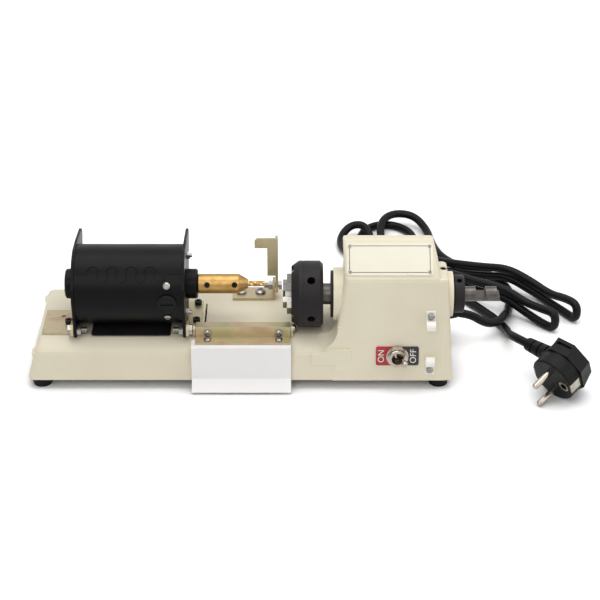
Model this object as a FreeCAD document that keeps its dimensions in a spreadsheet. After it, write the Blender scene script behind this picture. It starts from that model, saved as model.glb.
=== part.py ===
import FreeCAD, Part
import math
import os
import Sketcher
from FreeCAD import Placement, Rotation, Vector

# A bench machine that duplicates tubular keys: cast base with headstock, swinging motor with cutter,
# sliding and indexing spindle with a three-jaw chuck, hinged gauge and hinged guard.
# Millimetres, +X along the spindle to its tail, +Y to the back, +Z up, feet on Z = 0.

SIZES = [
    ("base_left", -177.4, "left end of the casting"),
    ("base_right", 142.6, "right end of the casting"),
    ("base_front", -42.0, "front edge of the casting at its foot"),
    ("base_rear", 58.0, "rear edge of the casting at its foot"),
    ("foot_height", 8.0, "underside of the casting"),
    ("crease_z", 30.6, "where the bed's sides turn into slopes"),
    ("bed_z", 39.0, "flat top of the bed"),
    ("bed_slope", 12.6, "depth of the bed's front and rear slopes"),
    ("bed_crown", 0.05, "rise of the bed and the tops from their edges to the middle"),
    ("front_tilt", 8.53, "lean of the front face, degrees"),
    ("wall", 6.0, "wall of the casting"),
    ("head_left", 49.6, "left wall of the headstock at its foot"),
    ("head_lean", 11.0, "how far the headstock's ends lean in"),
    ("head_rear", 18.0, "rear wall of the headstock at its foot"),
    ("head_crease_z", 88.0, "foot of the nameplate slope"),
    ("head_top_z", 110.0, "top of the headstock"),
    ("head_rear_in", 12.0, "lean of the headstock's rear wall"),
    ("head_proud", 0.6, "how far the headstock stands out of the bed's front"),
    ("ridge_front", -8.0, "front of the headstock's top"),
    ("ridge_rear", -2.0, "rear of the headstock's top"),
    ("boss_top_z", 87.5, "top of the right bearing block"),
    ("cove", 20.0, "radius of the cove from bed to headstock, at the front"),
    ("cove_low", 9.5, "radius of the cove under the chuck"),
    ("foot_x", 150.0, "feet from the middle of the casting"),
    ("foot_y", 40.0, "feet from the middle of the casting"),
    ("foot_r", 8.0, "foot radius at the top"),
    ("spindle_y", -12.0, "spindle axis"),
    ("spindle_z", 65.7, "spindle axis"),
    ("spindle_r", 8.0, "spindle in the sleeve"),
    ("tail_r", 5.65, "spindle tail"),
    ("tail_end", 177.5, "end of the spindle tail"),
    ("sleeve_r", 12.0, "outside of the index sleeve"),
    ("flange_r", 17.7, "index sleeve flange"),
    ("flange_x", 50.7, "left face of the sleeve flange"),
    ("flange_t", 1.9, "thickness of the sleeve flange"),
    ("boss_face", 142.1, "right face of the bearing block"),
    ("run_gap", 0.04, "radial clearance of the running fits"),
    ("flat_gap", 0.1, "clearance between flat faces that slide on each other"),
    ("chuck_r", 25.0, "chuck outside radius"),
    ("chuck_front", 21.4, "front face of the chuck"),
    ("chuck_split", 30.4, "joint between chuck body and scroll ring"),
    ("chuck_rear", 45.1, "rear face of the chuck"),
    ("jaw_tip", 15.0, "front of the jaws"),
    ("jaw_r", 14.8, "outer end of the jaws"),
    ("jaw_in", 4.0, "inner end of the jaws, from the axis"),
    ("jaw_w", 9.0, "jaw width"),
    ("scroll_pitch", 3.5, "jaw travel for one turn of the scroll ring"),
    ("tommy_r", 3.0, "tommy-bar holes"),
    ("collar_r", 14.3, "depth collar"),
    ("collar_w", 8.0, "depth collar width"),
    ("motor_y", -5.0, "motor axis"),
    ("motor_z", 70.5, "motor axis"),
    ("motor_r", 30.0, "motor shell outside radius"),
    ("seam_lobe", 3.99, "radius of the round lobes of the shell's seam"),
    ("motor_left", -139.3, "left end of the motor shell"),
    ("motor_right", -59.6, "right end of the motor shell"),
    ("plate_t", 2.0, "motor end plates and brackets"),
    ("pivot_y", -29.0, "motor pivot"),
    ("pivot_z", 44.3, "motor pivot"),
    ("cap_r", 11.3, "motor bearing cap and boss"),
    ("shaft_r", 4.0, "motor shaft"),
    ("holder_r", 7.4, "cutter holder"),
    ("holder_left", -48.9, "left end of the cutter holder"),
    ("holder_cone", -18.4, "where the holder starts to taper"),
    ("holder_right", -11.4, "right end of the cutter holder"),
    ("mill_r", 2.2, "end mill"),
    ("mill_tip", 1.4, "tip of the end mill"),
    ("gauge_y", 29.0, "gauge pivot"),
    ("gauge_z", 50.0, "gauge pivot"),
    ("gauge_x", 8.9, "left face of the gauge lever"),
    ("gauge_top", 93.0, "top of the gauge lever"),
    ("gauge_flag", -6.9, "tip of the gauge's flag"),
    ("guard_left", -50.4, "left end of the guard"),
    ("guard_right", 20.6, "right end of the guard"),
    ("guard_y", -25.3, "guard hinge"),
    ("guard_z", 43.7, "guard hinge"),
    ("guard_bar", 6.4, "side of the guard's hinge bar"),
    ("shield_t", 1.6, "clear shield"),
    ("switch_x", 100.6, "toggle switch"),
    ("switch_z", 28.0, "toggle switch"),
    ("clip_x", 125.0, "tool clips"),
    ("cord_r", 3.4, "mains cord radius"),
    ("cord_exit_y", 30.0, "where the cord leaves the right end"),
    ("cord_exit_z", 25.0, "where the cord leaves the right end"),
    ("plug_x", 226.2, "middle of the plug"),
    ("plug_y", -46.7, "middle of the plug"),
    ("plug_z", 22.8, "middle of the plug"),
    ("plug_yaw", 222.7, "way the plug's pins point, degrees"),
    ("plug_dip", 20.4, "how far the plug's pins point down, degrees"),
    ("plug_r", 18.6, "plug at its pins"),
]

doc = FreeCAD.newDocument("key_machine")
sheet = doc.addObject("Spreadsheet::Sheet", "Sizes")


class Size:
    """A number together with the sheet expression that gives it."""

    def __init__(self, value, text):
        self.value = float(value)
        self.text = text

    def __add__(self, other):
        other = size(other)
        return Size(self.value + other.value, f"({self.text} + {other.text})")

    def __radd__(self, other):
        return size(other) + self

    def __sub__(self, other):
        other = size(other)
        return Size(self.value - other.value, f"({self.text} - {other.text})")

    def __rsub__(self, other):
        return size(other) - self

    def __mul__(self, other):
        other = size(other)
        return Size(self.value * other.value, f"({self.text} * {other.text})")

    def __rmul__(self, other):
        return size(other) * self

    def __truediv__(self, other):
        other = size(other)
        return Size(self.value / other.value, f"({self.text} / {other.text})")

    def __neg__(self):
        return Size(-self.value, f"(0 - {self.text})")


def size(number):
    """A Size from a Size or a plain number."""
    if isinstance(number, Size):
        return number
    return Size(number, f"({float(number)!r})")


class Table:
    """The sheet's rows as attributes."""


S = Table()
for row, (alias, number, note) in enumerate(SIZES, 1):
    sheet.set(f"A{row}", note)
    sheet.set(f"B{row}", str(number))
    sheet.setAlias(f"B{row}", alias)
doc.recompute()
for alias, number, note in SIZES:
    setattr(S, alias, Size(sheet.get(alias), f"Sizes.{alias}"))

LEAN = Size(math.tan(math.radians(S.front_tilt.value)), "tan(Sizes.front_tilt)")
MIDDLE_X = (S.base_left + S.base_right) / 2
MIDDLE_Y = (S.base_front + S.base_rear) / 2
SEAT_Z = S.bed_z + S.bed_crown + 0.02
NODES = {}


def front(z):
    """Y of the casting's leaning front face at a height."""
    return S.base_front + LEAN * (size(z) - S.foot_height)


def head_front(z):
    """Y of the headstock's front at a height."""
    return front(z) - S.head_proud


def bind(obj, prop, number):
    """Sets a property to a Size and ties it to the sheet."""
    obj.setExpression(prop, size(number).text)


AIMS = {
    "+X": Rotation(),
    "-X": Rotation(Vector(0, 0, 1), 180),
    "+Y": Rotation(Vector(0, 0, 1), 90),
    "-Y": Rotation(Vector(0, 0, 1), -90),
    "+Z": Rotation(Vector(0, 1, 0), -90),
    "-Z": Rotation(Vector(0, 1, 0), 90),
}


def place(obj, at, rotation=None):
    """Puts an object at a point tied to the sheet."""
    at = [size(v) for v in at]
    obj.Placement = Placement(Vector(*(v.value for v in at)), rotation or Rotation())
    for axis, v in zip("xyz", at):
        bind(obj, f"Placement.Base.{axis}", v)


def new_body(label, at=None, rotation=None):
    """An empty body, placed where its part stands."""
    body = doc.addObject("PartDesign::Body", label)
    body.Label = label
    if at is not None:
        place(body, at, rotation)
    return body


def plane_of(body, role):
    return next(f for f in body.Origin.OriginFeatures if f.Role == role)


def new_sketch(body, plane, offset=0.0):
    """A sketch on an origin plane, moved along that plane's normal."""
    sketch = body.newObject("Sketcher::SketchObject", f"{body.Label}_sketch")
    sketch.AttachmentSupport = [(plane_of(body, plane), "")]
    sketch.MapMode = "FlatFace"
    bind(sketch, "AttachmentOffset.Base.z", offset)
    return sketch


def tie(sketch, kind, geo, point, number):
    """Ties one coordinate of a point to the sheet."""
    number = size(number)
    index = sketch.addConstraint(Sketcher.Constraint(kind, -1, 1, geo, point, number.value))
    sketch.setExpression(f"Constraints[{index}]", number.text)


def draw_polygon(sketch, points):
    """A closed outline whose corners are tied to the sheet."""
    points = [(size(x), size(y)) for x, y in points]
    first = sketch.GeometryCount
    count = len(points)
    corners = [Vector(x.value, y.value, 0) for x, y in points]
    for i in range(count):
        sketch.addGeometry(Part.LineSegment(corners[i], corners[(i + 1) % count]), False)
    for i in range(count):
        pair = (first + i, 2, first + (i + 1) % count, 1)
        sketch.addConstraint(Sketcher.Constraint("Coincident", *pair))
    for i, (x, y) in enumerate(points):
        tie(sketch, "DistanceX", first + i, 1, x)
        tie(sketch, "DistanceY", first + i, 1, y)


def draw_circle(sketch, x, y, radius):
    """A circle with its centre and radius tied to the sheet."""
    x, y, radius = size(x), size(y), size(radius)
    centre = Vector(x.value, y.value, 0)
    geo = sketch.addGeometry(Part.Circle(centre, Vector(0, 0, 1), radius.value), False)
    tie(sketch, "DistanceX", geo, 3, x)
    tie(sketch, "DistanceY", geo, 3, y)
    index = sketch.addConstraint(Sketcher.Constraint("Radius", geo, radius.value))
    sketch.setExpression(f"Constraints[{index}]", radius.text)


def pad(body, sketch, length, backwards=False):
    feature = body.newObject("PartDesign::Pad", f"{body.Label}_pad")
    feature.Profile = sketch
    feature.Reversed = backwards
    bind(feature, "Length", length)
    return feature


def loft(body, plane, sections, kind="AdditiveLoft"):
    """A ruled loft through outlines at their own offsets."""
    sketches = []
    for offset, points in sections:
        sketch = new_sketch(body, plane, offset)
        draw_polygon(sketch, points)
        sketches.append(sketch)
    feature = body.newObject(f"PartDesign::{kind}", f"{body.Label}_loft")
    feature.Profile = sketches[0]
    feature.Sections = sketches[1:]
    feature.Ruled = True
    return feature


def rectangle(x0, x1, y0, y1):
    return [(x0, y0), (x1, y0), (x1, y1), (x0, y1)]


def primitive(body, kind, at, rotation=None, **numbers):
    """A box, cylinder, cone, sphere or prism added to a body or taken from it."""
    feature = body.newObject(f"PartDesign::{kind}", f"{body.Label}_{kind}")
    for prop, number in numbers.items():
        if prop == "Polygon":
            feature.Polygon = number
        else:
            bind(feature, prop, number)
    place(feature, at, rotation)
    return feature


def rod(body, at, aim, radius, length):
    return primitive(body, "AdditiveCylinder", at, turn_z(aim), Radius=radius, Height=length)


def drill(body, at, aim, radius, length):
    return primitive(body, "SubtractiveCylinder", at, turn_z(aim), Radius=radius, Height=length)


def turn_z(aim):
    """The rotation that turns +Z to an aim such as "+X", or a rotation as it is."""
    if isinstance(aim, Rotation):
        return aim
    sign = 1 if aim[0] == "+" else -1
    target = {"X": Vector(sign, 0, 0), "Y": Vector(0, sign, 0), "Z": Vector(0, 0, sign)}[aim[1]]
    if aim == "-Z":
        return Rotation(Vector(1, 0, 0), 180)
    return Rotation(Vector(0, 0, 1), target)


def turned(label, profile, at, aim="+X"):
    """A body turned about its own X axis from (along, radius) points, aimed in the frame."""
    rotation = aim if isinstance(aim, Rotation) else AIMS[aim]
    body = new_body(label, at, rotation)
    sketch = new_sketch(body, "XZ_Plane")
    draw_polygon(sketch, profile)
    feature = body.newObject("PartDesign::Revolution", f"{label}_turn")
    feature.Profile = sketch
    feature.ReferenceAxis = (sketch, ["H_Axis"])
    feature.Angle = 360
    return body


def tube(x0, x1, inner, outer):
    """The (along, radius) profile of a plain ring."""
    return [(x0, inner), (x1, inner), (x1, outer), (x0, outer)]


def prism(label, plane, start, thickness, outline, holes=()):
    """A flat plate: an outline padded along +X, +Y or +Z, with round holes."""
    body = new_body(label)
    along_y = plane == "XZ_Plane"
    sketch = new_sketch(body, plane, -size(start) if along_y else start)
    draw_polygon(sketch, outline)
    for hole in holes:
        draw_circle(sketch, *hole)
    pad(body, sketch, thickness, along_y)
    return body


def round_edges(body, radius, wanted, kind="Fillet"):
    """Rounds or bevels the edges of the body's tip that a test picks."""
    doc.recompute()
    tip = body.Tip
    names = []
    for index, edge in enumerate(tip.Shape.Edges, 1):
        if wanted(edge):
            names.append(f"Edge{index}")
    feature = body.newObject(f"PartDesign::{kind}", f"{body.Label}_{kind}")
    feature.Base = (tip, names)
    bind(feature, "Radius" if kind == "Fillet" else "Size", radius)
    return feature


def straight(edge, axis, least=0.5):
    """True for a straight edge along an axis."""
    if edge.Curve.TypeId != "Part::GeomLine" or edge.Length < least:
        return False
    return abs(edge.Curve.Direction[axis]) > 0.999


def keep(label, obj):
    """Makes an object a node of the part."""
    obj.Label = label
    NODES[label] = obj
    return obj


def group(label, members):
    """Several alike solids as one node."""
    compound = doc.addObject("Part::Compound", label)
    compound.Links = members
    return keep(label, compound)


def socket_screw(label, at, aim, shank_r, length, head_r, head_h):
    """A cap screw with a hexagon socket; the aim is the way its head faces."""
    profile = [(-size(length), 0), (head_h, 0), (head_h, head_r), (0, head_r)]
    profile += [(0, shank_r), (-size(length), shank_r)]
    body = turned(label, profile, at, aim)
    socket = dict(Polygon=6, Circumradius=size(head_r) * 0.52, Height=size(head_h))
    primitive(body, "SubtractivePrism", (size(head_h) * 0.45, 0, 0), turn_z("+X"), **socket)
    return body


def pan_screw(label, at, aim, shank_r, length, head_r, head_h):
    """A pan-head screw with a cross recess; the aim is the way its head faces."""
    edge = size(head_h) * 0.55
    profile = [(-size(length), 0), (head_h, 0), (head_h, size(head_r) * 0.62), (edge, head_r)]
    profile += [(0, head_r), (0, shank_r), (-size(length), shank_r)]
    body = turned(label, profile, at, aim)
    wide = size(head_r) * 1.1
    slim = size(head_r) * 0.24
    for y, z in ((wide, slim), (slim, wide)):
        corner = (size(head_h) * 0.55, -y / 2, -z / 2)
        primitive(body, "SubtractiveBox", corner, Length=size(head_h), Width=y, Height=z)
    return body


def hex_bolt(label, at, aim, shank_r, length, head_r, head_h):
    """A hexagon bolt; the aim is the way its head faces."""
    body = turned(label, [(-size(length), 0), (0, 0), (0, shank_r), (-size(length), shank_r)], at, aim)
    head = dict(Polygon=6, Circumradius=head_r, Height=head_h)
    primitive(body, "AdditivePrism", (0, 0, 0), turn_z("+X"), **head)
    return body


def hex_nut(label, at, aim, hole_r, nut_r, height):
    body = new_body(label, at, AIMS[aim])
    shape = dict(Polygon=6, Circumradius=nut_r, Height=height)
    primitive(body, "AdditivePrism", (0, 0, 0), turn_z("+X"), **shape)
    drill(body, (-1, 0, 0), "+X", hole_r, size(height) + 2)
    return body


SPINDLE = (0, S.spindle_y, S.spindle_z)
MOTOR = (0, S.motor_y, S.motor_z)


def rounded_sketch(body, z, x0, x1, y0, y1, radius):
    """A rectangle with round corners, tied to the sheet, at a height."""
    sketch = new_sketch(body, "XY_Plane", z)
    x0, x1, y0, y1, radius = (size(v) for v in (x0, x1, y0, y1, radius))
    near, far = x0 + radius, x1 - radius
    low, high = y0 + radius, y1 - radius
    ends = [((near, y0), (far, y0)), ((x1, low), (x1, high))]
    ends += [((far, y1), (near, y1)), ((x0, high), (x0, low))]
    centres = [(far, low), (far, high), (near, high), (near, low)]
    for side in range(4):
        a, b = (Vector(x.value, y.value, 0) for x, y in ends[side])
        sketch.addGeometry(Part.LineSegment(a, b), False)
        x, y = centres[side]
        circle = Part.Circle(Vector(x.value, y.value, 0), Vector(0, 0, 1), radius.value)
        begin = math.pi * (1.5 + 0.5 * side)
        sketch.addGeometry(Part.ArcOfCircle(circle, begin, begin + math.pi / 2), False)
    for geo in range(8):
        sketch.addConstraint(Sketcher.Constraint("Coincident", geo, 2, (geo + 1) % 8, 1))
    for side in range(4):
        for point, (x, y) in enumerate(ends[side], 1):
            tie(sketch, "DistanceX", side * 2, point, x)
            tie(sketch, "DistanceY", side * 2, point, y)
        index = sketch.addConstraint(Sketcher.Constraint("Radius", side * 2 + 1, radius.value))
        sketch.setExpression(f"Constraints[{index}]", radius.text)
    return sketch


def soften(stations, reach):
    """Eases the bends of a side profile with short steps before and after them."""
    smooth = [stations[0]]
    for before, here, after in zip(stations, stations[1:], stations[2:]):
        steps = []
        for other in (before, after):
            gap = max(abs(size(a).value - size(b).value) for a, b in zip(other, here))
            share = min(0.45, reach / gap)
            steps.append([size(a) * (1 - share) + size(b) * share for a, b in zip(here, other)])
        early, late = steps
        middle = [a * 0.25 + size(b) * 0.5 + c * 0.25 for a, b, c in zip(early, here, late)]
        smooth += [early, middle, late]
    return smooth + [stations[-1]]


def rounded_loft(body, stations, reach=2.5):
    """A cast block through (z, x0, x1, y0, y1, corner radius) stations."""
    sketches = [rounded_sketch(body, *station) for station in soften(stations, reach)]
    feature = body.newObject("PartDesign::AdditiveLoft", f"{body.Label}_loft")
    feature.Profile = sketches[0]
    feature.Sections = sketches[1:]
    feature.Ruled = True


def build_casting():
    """Bed, headstock and bearing block as one hollow casting."""
    body = new_body("base_casting")
    right = S.base_right - 1.5
    top_y0 = front(S.crease_z) + S.bed_slope
    rear = S.base_rear - LEAN * (S.crease_z - S.foot_height)
    top_y1 = rear - S.bed_slope
    rounded_loft(body, [
        (S.foot_height, S.base_left, right, S.base_front, S.base_rear, 6),
        (S.crease_z, S.base_left + 6, right - 1.2, front(S.crease_z), rear, 6),
        (S.bed_z, S.base_left + 9, right - 3.6, top_y0, top_y1, 4),
        (S.bed_z + S.bed_crown, S.base_left + 15, right - 9, top_y0 + 6, top_y1 - 6, 2),
    ])
    crease_y = head_front(S.head_crease_z)
    head_x0 = S.head_left + S.head_lean
    head_x1 = S.base_right - 11
    rounded_loft(body, [
        (S.foot_height, S.head_left, S.base_right - 3, S.base_front - S.head_proud, S.head_rear, 4),
        (S.head_crease_z, head_x0, head_x1, crease_y, S.head_rear - S.head_rear_in, 4),
        (S.head_top_z, head_x0 - 1, head_x1 - 5, S.ridge_front, S.ridge_rear + 1, 1.5),
        (S.head_top_z + S.bed_crown, head_x0 + 2, head_x1 - 8, S.ridge_front + 2, S.ridge_rear - 1, 1.2),
    ])
    block_x0 = S.base_right - 22
    block_y0, block_y1 = front(S.boss_top_z) + 0.4, S.spindle_y + 12
    rounded_loft(body, [
        (S.foot_height, block_x0, S.base_right, S.base_front - 0.2, S.head_rear - 0.5, 3),
        (S.boss_top_z, block_x0, S.base_right - 5, block_y0, block_y1, 3),
        (S.boss_top_z + S.bed_crown, block_x0 + 4, S.base_right - 9, block_y0 + 4, block_y1 - 4, 2),
    ])
    wall_x = S.head_left + S.head_lean * 0.6
    sections = [
        cove_sketch(body, front(S.crease_z) - 2, wall_x, S.crease_z - 1.3, S.cove),
        cove_sketch(body, top_y0, wall_x, S.bed_z, S.cove_low + 4.5),
        cove_sketch(body, S.spindle_y - 13, wall_x, S.bed_z, S.cove_low),
        cove_sketch(body, 15.5, wall_x, S.bed_z, S.cove_low),
    ]
    for first, second in zip(sections, sections[1:]):
        feature = body.newObject("PartDesign::AdditiveLoft", "base_casting_cove")
        feature.Profile = first
        feature.Sections = [second]
        feature.Ruled = True
    sketch = new_sketch(body, "YZ_Plane", wall_x - S.cove - 4)
    low, high = S.bed_z - 6, S.bed_z + 40
    near = front(low) - 20
    flush = 0.05
    edge = [(head_front(low) - flush, low), (head_front(high) - flush, high)]
    draw_polygon(sketch, edge + [(near, high), (near, low)])
    pocket = body.newObject("PartDesign::Pocket", "base_casting_cove_front")
    pocket.Profile = sketch
    pocket.Reversed = True
    bind(pocket, "Length", S.cove + 14)
    left_boss = S.flange_x + S.flange_t + S.flat_gap
    rod(body, (left_boss, S.spindle_y, S.spindle_z), "+X", S.flange_r + 2.3, 14)
    rod(body, (S.boss_face - 14, S.spindle_y, S.spindle_z), "+X", S.sleeve_r + 5, 14)
    hollow_casting(body)
    return keep("base_casting", body)


def cove_sketch(body, y, wall_x, z, radius):
    """The cove's outline in a plane across Y, from the bed up to the headstock's wall."""
    sketch = new_sketch(body, "XZ_Plane", -size(y))
    x = wall_x - radius
    z_low = z - 9
    x_far = x + radius + 10
    centre = Vector(x.value, (z + radius).value, 0)
    circle = Part.Circle(centre, Vector(0, 0, 1), radius.value)
    sketch.addGeometry(Part.ArcOfCircle(circle, 1.5 * math.pi, 2 * math.pi), False)
    corners = [(x + radius, z + radius), (x_far, z + radius), (x_far, z_low), (x, z_low), (x, z)]
    points = [Vector(a.value, b.value, 0) for a, b in corners]
    for a, b in zip(points, points[1:]):
        sketch.addGeometry(Part.LineSegment(a, b), False)
    for pair in ((0, 2, 1, 1), (1, 2, 2, 1), (2, 2, 3, 1), (3, 2, 4, 1), (4, 2, 0, 1)):
        sketch.addConstraint(Sketcher.Constraint("Coincident", *pair))
    tie(sketch, "DistanceX", 0, 3, x)
    tie(sketch, "DistanceY", 0, 3, z + radius)
    for geo, (a, b) in enumerate(corners, 1):
        if geo < 5:
            tie(sketch, "DistanceX", geo, 1, a)
            tie(sketch, "DistanceY", geo, 1, b)
    tie(sketch, "DistanceX", 4, 2, x)
    return sketch


def hollow_casting(body):
    """Takes out the underside, the bores and the fixing holes."""
    wall = S.wall
    x0, x1 = S.base_left + wall, S.base_right - wall
    y0, y1 = S.base_front + wall, S.base_rear - wall
    low = S.crease_z - wall + 1
    high = S.bed_z - wall + 0.5
    slope = S.bed_slope
    loft(body, "XY_Plane", [
        (S.foot_height - 1, rectangle(x0, x1, y0, y1)),
        (low, rectangle(x0 + 6, x1 - 2, y0 + 4, y1 - 4)),
        (high, rectangle(x0 + 9, x1 - 4, y0 + slope + 4, y1 - slope - 4)),
    ], "SubtractiveLoft")
    inner_x0 = S.flange_x + 18
    inner_x1 = S.boss_face - 24
    loft(body, "XY_Plane", [
        (high - 6, rectangle(inner_x0, inner_x1, front(S.bed_z) + wall, S.head_rear - 10)),
        (S.head_crease_z - 6, rectangle(inner_x0, inner_x1, front(S.head_crease_z) + wall, S.head_rear - 18)),
    ], "SubtractiveLoft")
    for sx in (-1, 1):
        for sy in (-1, 1):
            x, y = MIDDLE_X + S.foot_x * sx, MIDDLE_Y + S.foot_y * sy
            rod(body, (x, y, S.foot_height + 1.6), "+Z", 6.5, S.crease_z - S.foot_height - 4)
            drill(body, (x, y, S.foot_height + 1), "+Z", 1.9, 12)
    left, right = S.flange_x, S.boss_face
    drill(body, (left - 1, S.spindle_y, S.spindle_z), "+X", S.sleeve_r + 2, 22)
    drill(body, (right - 24, S.spindle_y, S.spindle_z), "+X", S.sleeve_r + S.run_gap, 30)
    drill(body, (right - 7.5, S.spindle_y, S.spindle_z), "+Z", 2.5, 40)
    inward = Rotation(Vector(1, 0, 0), -90 - S.front_tilt.value)
    out = Rotation(Vector(1, 0, 0), 90 - S.front_tilt.value)
    lift = out.multVec(Vector(0, 0, 1))
    at = (S.switch_x, head_front(S.switch_z) + lift.y, S.switch_z + lift.z)
    drill(body, at, inward, 6.1, 30)
    corner = out.multVec(Vector(-8, -7.5, -30))
    at = (S.switch_x + corner.x, head_front(S.switch_z) + corner.y, S.switch_z + corner.z)
    primitive(body, "SubtractiveBox", at, out, Length=16, Width=15, Height=23.5)
    for z, screw_z in CLIPS:
        drill(body, (S.clip_x, head_front(screw_z) + lift.y, screw_z + lift.z), inward, 1.4, 6)
    for x, y in BRACKET_SCREWS + GAUGE_SCREWS:
        drill(body, (x, y, S.bed_z + 1), "-Z", 1.6, 12)
    for x, y in LUG_SCREWS:
        drill(body, (x, y, S.bed_z + 1), "-Z", 1.2, 8)
    drill(body, (S.base_right - 12, S.cord_exit_y, S.cord_exit_z), "+X", 4.9, 20)
    drill(body, (BUFFER[0], BUFFER[1], S.bed_z + 1), "-Z", 1.6, 12)
    slot = (S.holder_left + 4, -13, S.bed_z - wall - 2)
    primitive(body, "SubtractiveBox", slot, Length=1.4, Width=32, Height=wall + 4)


CLIPS = [(53, 60), (24.5, 17.5)]
BRACKET_SCREWS = [(-147.2, -13.5), (-50.6, -11.5), (-50.6, 15)]
GAUGE_SCREWS = [(-17.8, 33.5), (-3, 33.5)]
LUG_FOOT = 9.5
LUG_SCREWS = [(S.guard_left + 5.5, S.guard_y + 7), (S.guard_right - 5.5, S.guard_y + 7)]
BUFFER = (-99.4, 12.5)


def build_underside():
    """Cover plate, rubber feet and the screws that hold both."""
    gap = S.wall + 1.2
    outline = rectangle(S.base_left + gap, S.base_right - gap, S.base_front + gap, S.base_rear - gap)
    places = []
    for sx in (-1, 1):
        for sy in (-1, 1):
            places.append((MIDDLE_X + S.foot_x * sx, MIDDLE_Y + S.foot_y * sy))
    holes = [(x, y, 2.2) for x, y in places]
    keep("bottom_cover", prism("bottom_cover", "XY_Plane", S.foot_height, 1.5, outline, holes))
    feet, screws = [], []
    for x, y in places:
        high = S.foot_height
        profile = [(0, 4.4), (0, S.foot_r - 1), (high, S.foot_r)]
        profile += [(high, 2.2), (high - 3, 2.2), (high - 3, 4.4)]
        feet.append(turned("rubber_foot", profile, (x, y, 0), "+Z"))
        screws.append(pan_screw("foot_screw", (x, y, high - 3), "-Z", 1.9, 12, 3.8, 2.2))
    group("rubber_feet", feet)
    group("foot_screws", screws)


def build_headstock_fittings():
    """Nameplate, switch, clips and the spindle bush."""
    run = S.ridge_front - head_front(S.head_crease_z)
    rise = S.head_top_z - S.head_crease_z
    angle = math.degrees(math.atan2(rise.value, run.value))
    middle_y = (head_front(S.head_crease_z) + S.ridge_front) / 2
    middle_z = (S.head_crease_z + S.head_top_z) / 2
    middle_x = (S.head_left + S.base_right) / 2 - 2
    tilt = Rotation(Vector(1, 0, 0), angle)
    plate = new_body("nameplate", (middle_x, middle_y, middle_z), tilt)
    corner = (-32, -12.5, 0.02)
    primitive(plate, "AdditiveBox", corner, Length=64, Width=25, Height=0.8)
    round_edges(plate, 2, lambda e: straight(e, 2, 0.1))
    keep("nameplate", plate)
    rivets = new_body("nameplate_rivets", (middle_x, middle_y, middle_z), tilt)
    rivets.AllowCompound = True
    for x in (-29.5, 29.5):
        for y in (-10, 10):
            rod(rivets, (x, y, 0.84), "+Z", 1.2, 0.7)
    keep("nameplate_rivets", rivets)
    out = Rotation(Vector(1, 0, 0), 90 - S.front_tilt.value)
    at = (S.switch_x, head_front(S.switch_z), S.switch_z)
    body = new_body("switch_plate", at, out)
    sketch = new_sketch(body, "XY_Plane", 0.02)
    draw_polygon(sketch, rectangle(-16, 16, -7.5, 7.5))
    draw_circle(sketch, 0, 0, 6.1)
    pad(body, sketch, 0.8)
    round_edges(body, 1.5, lambda e: straight(e, 2, 0.1))
    keep("switch_plate", body)
    body = new_body("switch_body", at, out)
    primitive(body, "AdditiveBox", (-7, -6.5, -24), Length=14, Width=13, Height=17)
    rod(body, (0, 0, -7.1), "+Z", 5.9, 14.1)
    cone = dict(Radius1=1.9, Radius2=4.6, Height=6.6)
    primitive(body, "SubtractiveCone", (0, 0, 0.5), None, **cone)
    keep("switch_body", body)
    body = new_body("switch_nut", at, out)
    rod(body, (0, 0, 0.84), "+Z", 8.3, 1.2)
    primitive(body, "AdditivePrism", (0, 0, 2), None, Polygon=6, Circumradius=7.6, Height=2.6)
    drill(body, (0, 0, 0), "+Z", 6.0, 10)
    keep("switch_nut", body)
    body = new_body("switch_lever", at, out * Rotation(Vector(0, 1, 0), 17))
    primitive(body, "AdditiveSphere", (0, 0, 1.9), None, Radius=1.3)
    primitive(body, "AdditiveCone", (0, 0, 1.9), None, Radius1=1.1, Radius2=2.4, Height=15)
    primitive(body, "AdditiveSphere", (0, 0, 16.9), None, Radius=2.4)
    keep("switch_lever", body)
    clips, screws = [], []
    for z, screw_z in CLIPS:
        at = (S.clip_x, head_front(z), size(z))
        rise = (screw_z - z) / math.cos(math.radians(S.front_tilt.value))
        body = new_body("tool_clip", at, out)
        low, high = (0, rise + 4) if rise > 0 else (rise - 4, 0)
        primitive(body, "AdditiveBox", (-3.4, low, 0.02), Length=6.8, Width=high - low, Height=1.6)
        rod(body, (-3.4, 0, 3.9), "+X", 3.88, 6.8)
        drill(body, (-5, 0, 3.9), "+X", 2.5, 10)
        drill(body, (0, rise, -1), "+Z", 1.6, 5)
        clips.append(body)
        lift = Vector(0, rise, 1.62)
        spot = out.multVec(lift)
        head = (S.clip_x, head_front(z) + spot.y, size(z) + spot.z)
        screws.append(pan_screw("clip_screw", head, out * AIMS["+Z"], 1.4, 6, 2.7, 1.8))
    group("tool_clips", clips)
    group("tool_clip_screws", screws)
    bush = tube(0, 20, S.sleeve_r + S.run_gap, S.sleeve_r + 1.98)
    bush_x = S.flange_x + S.flange_t + S.flat_gap
    keep("spindle_bush", turned("spindle_bush", bush, (bush_x, S.spindle_y, S.spindle_z)))


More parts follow.
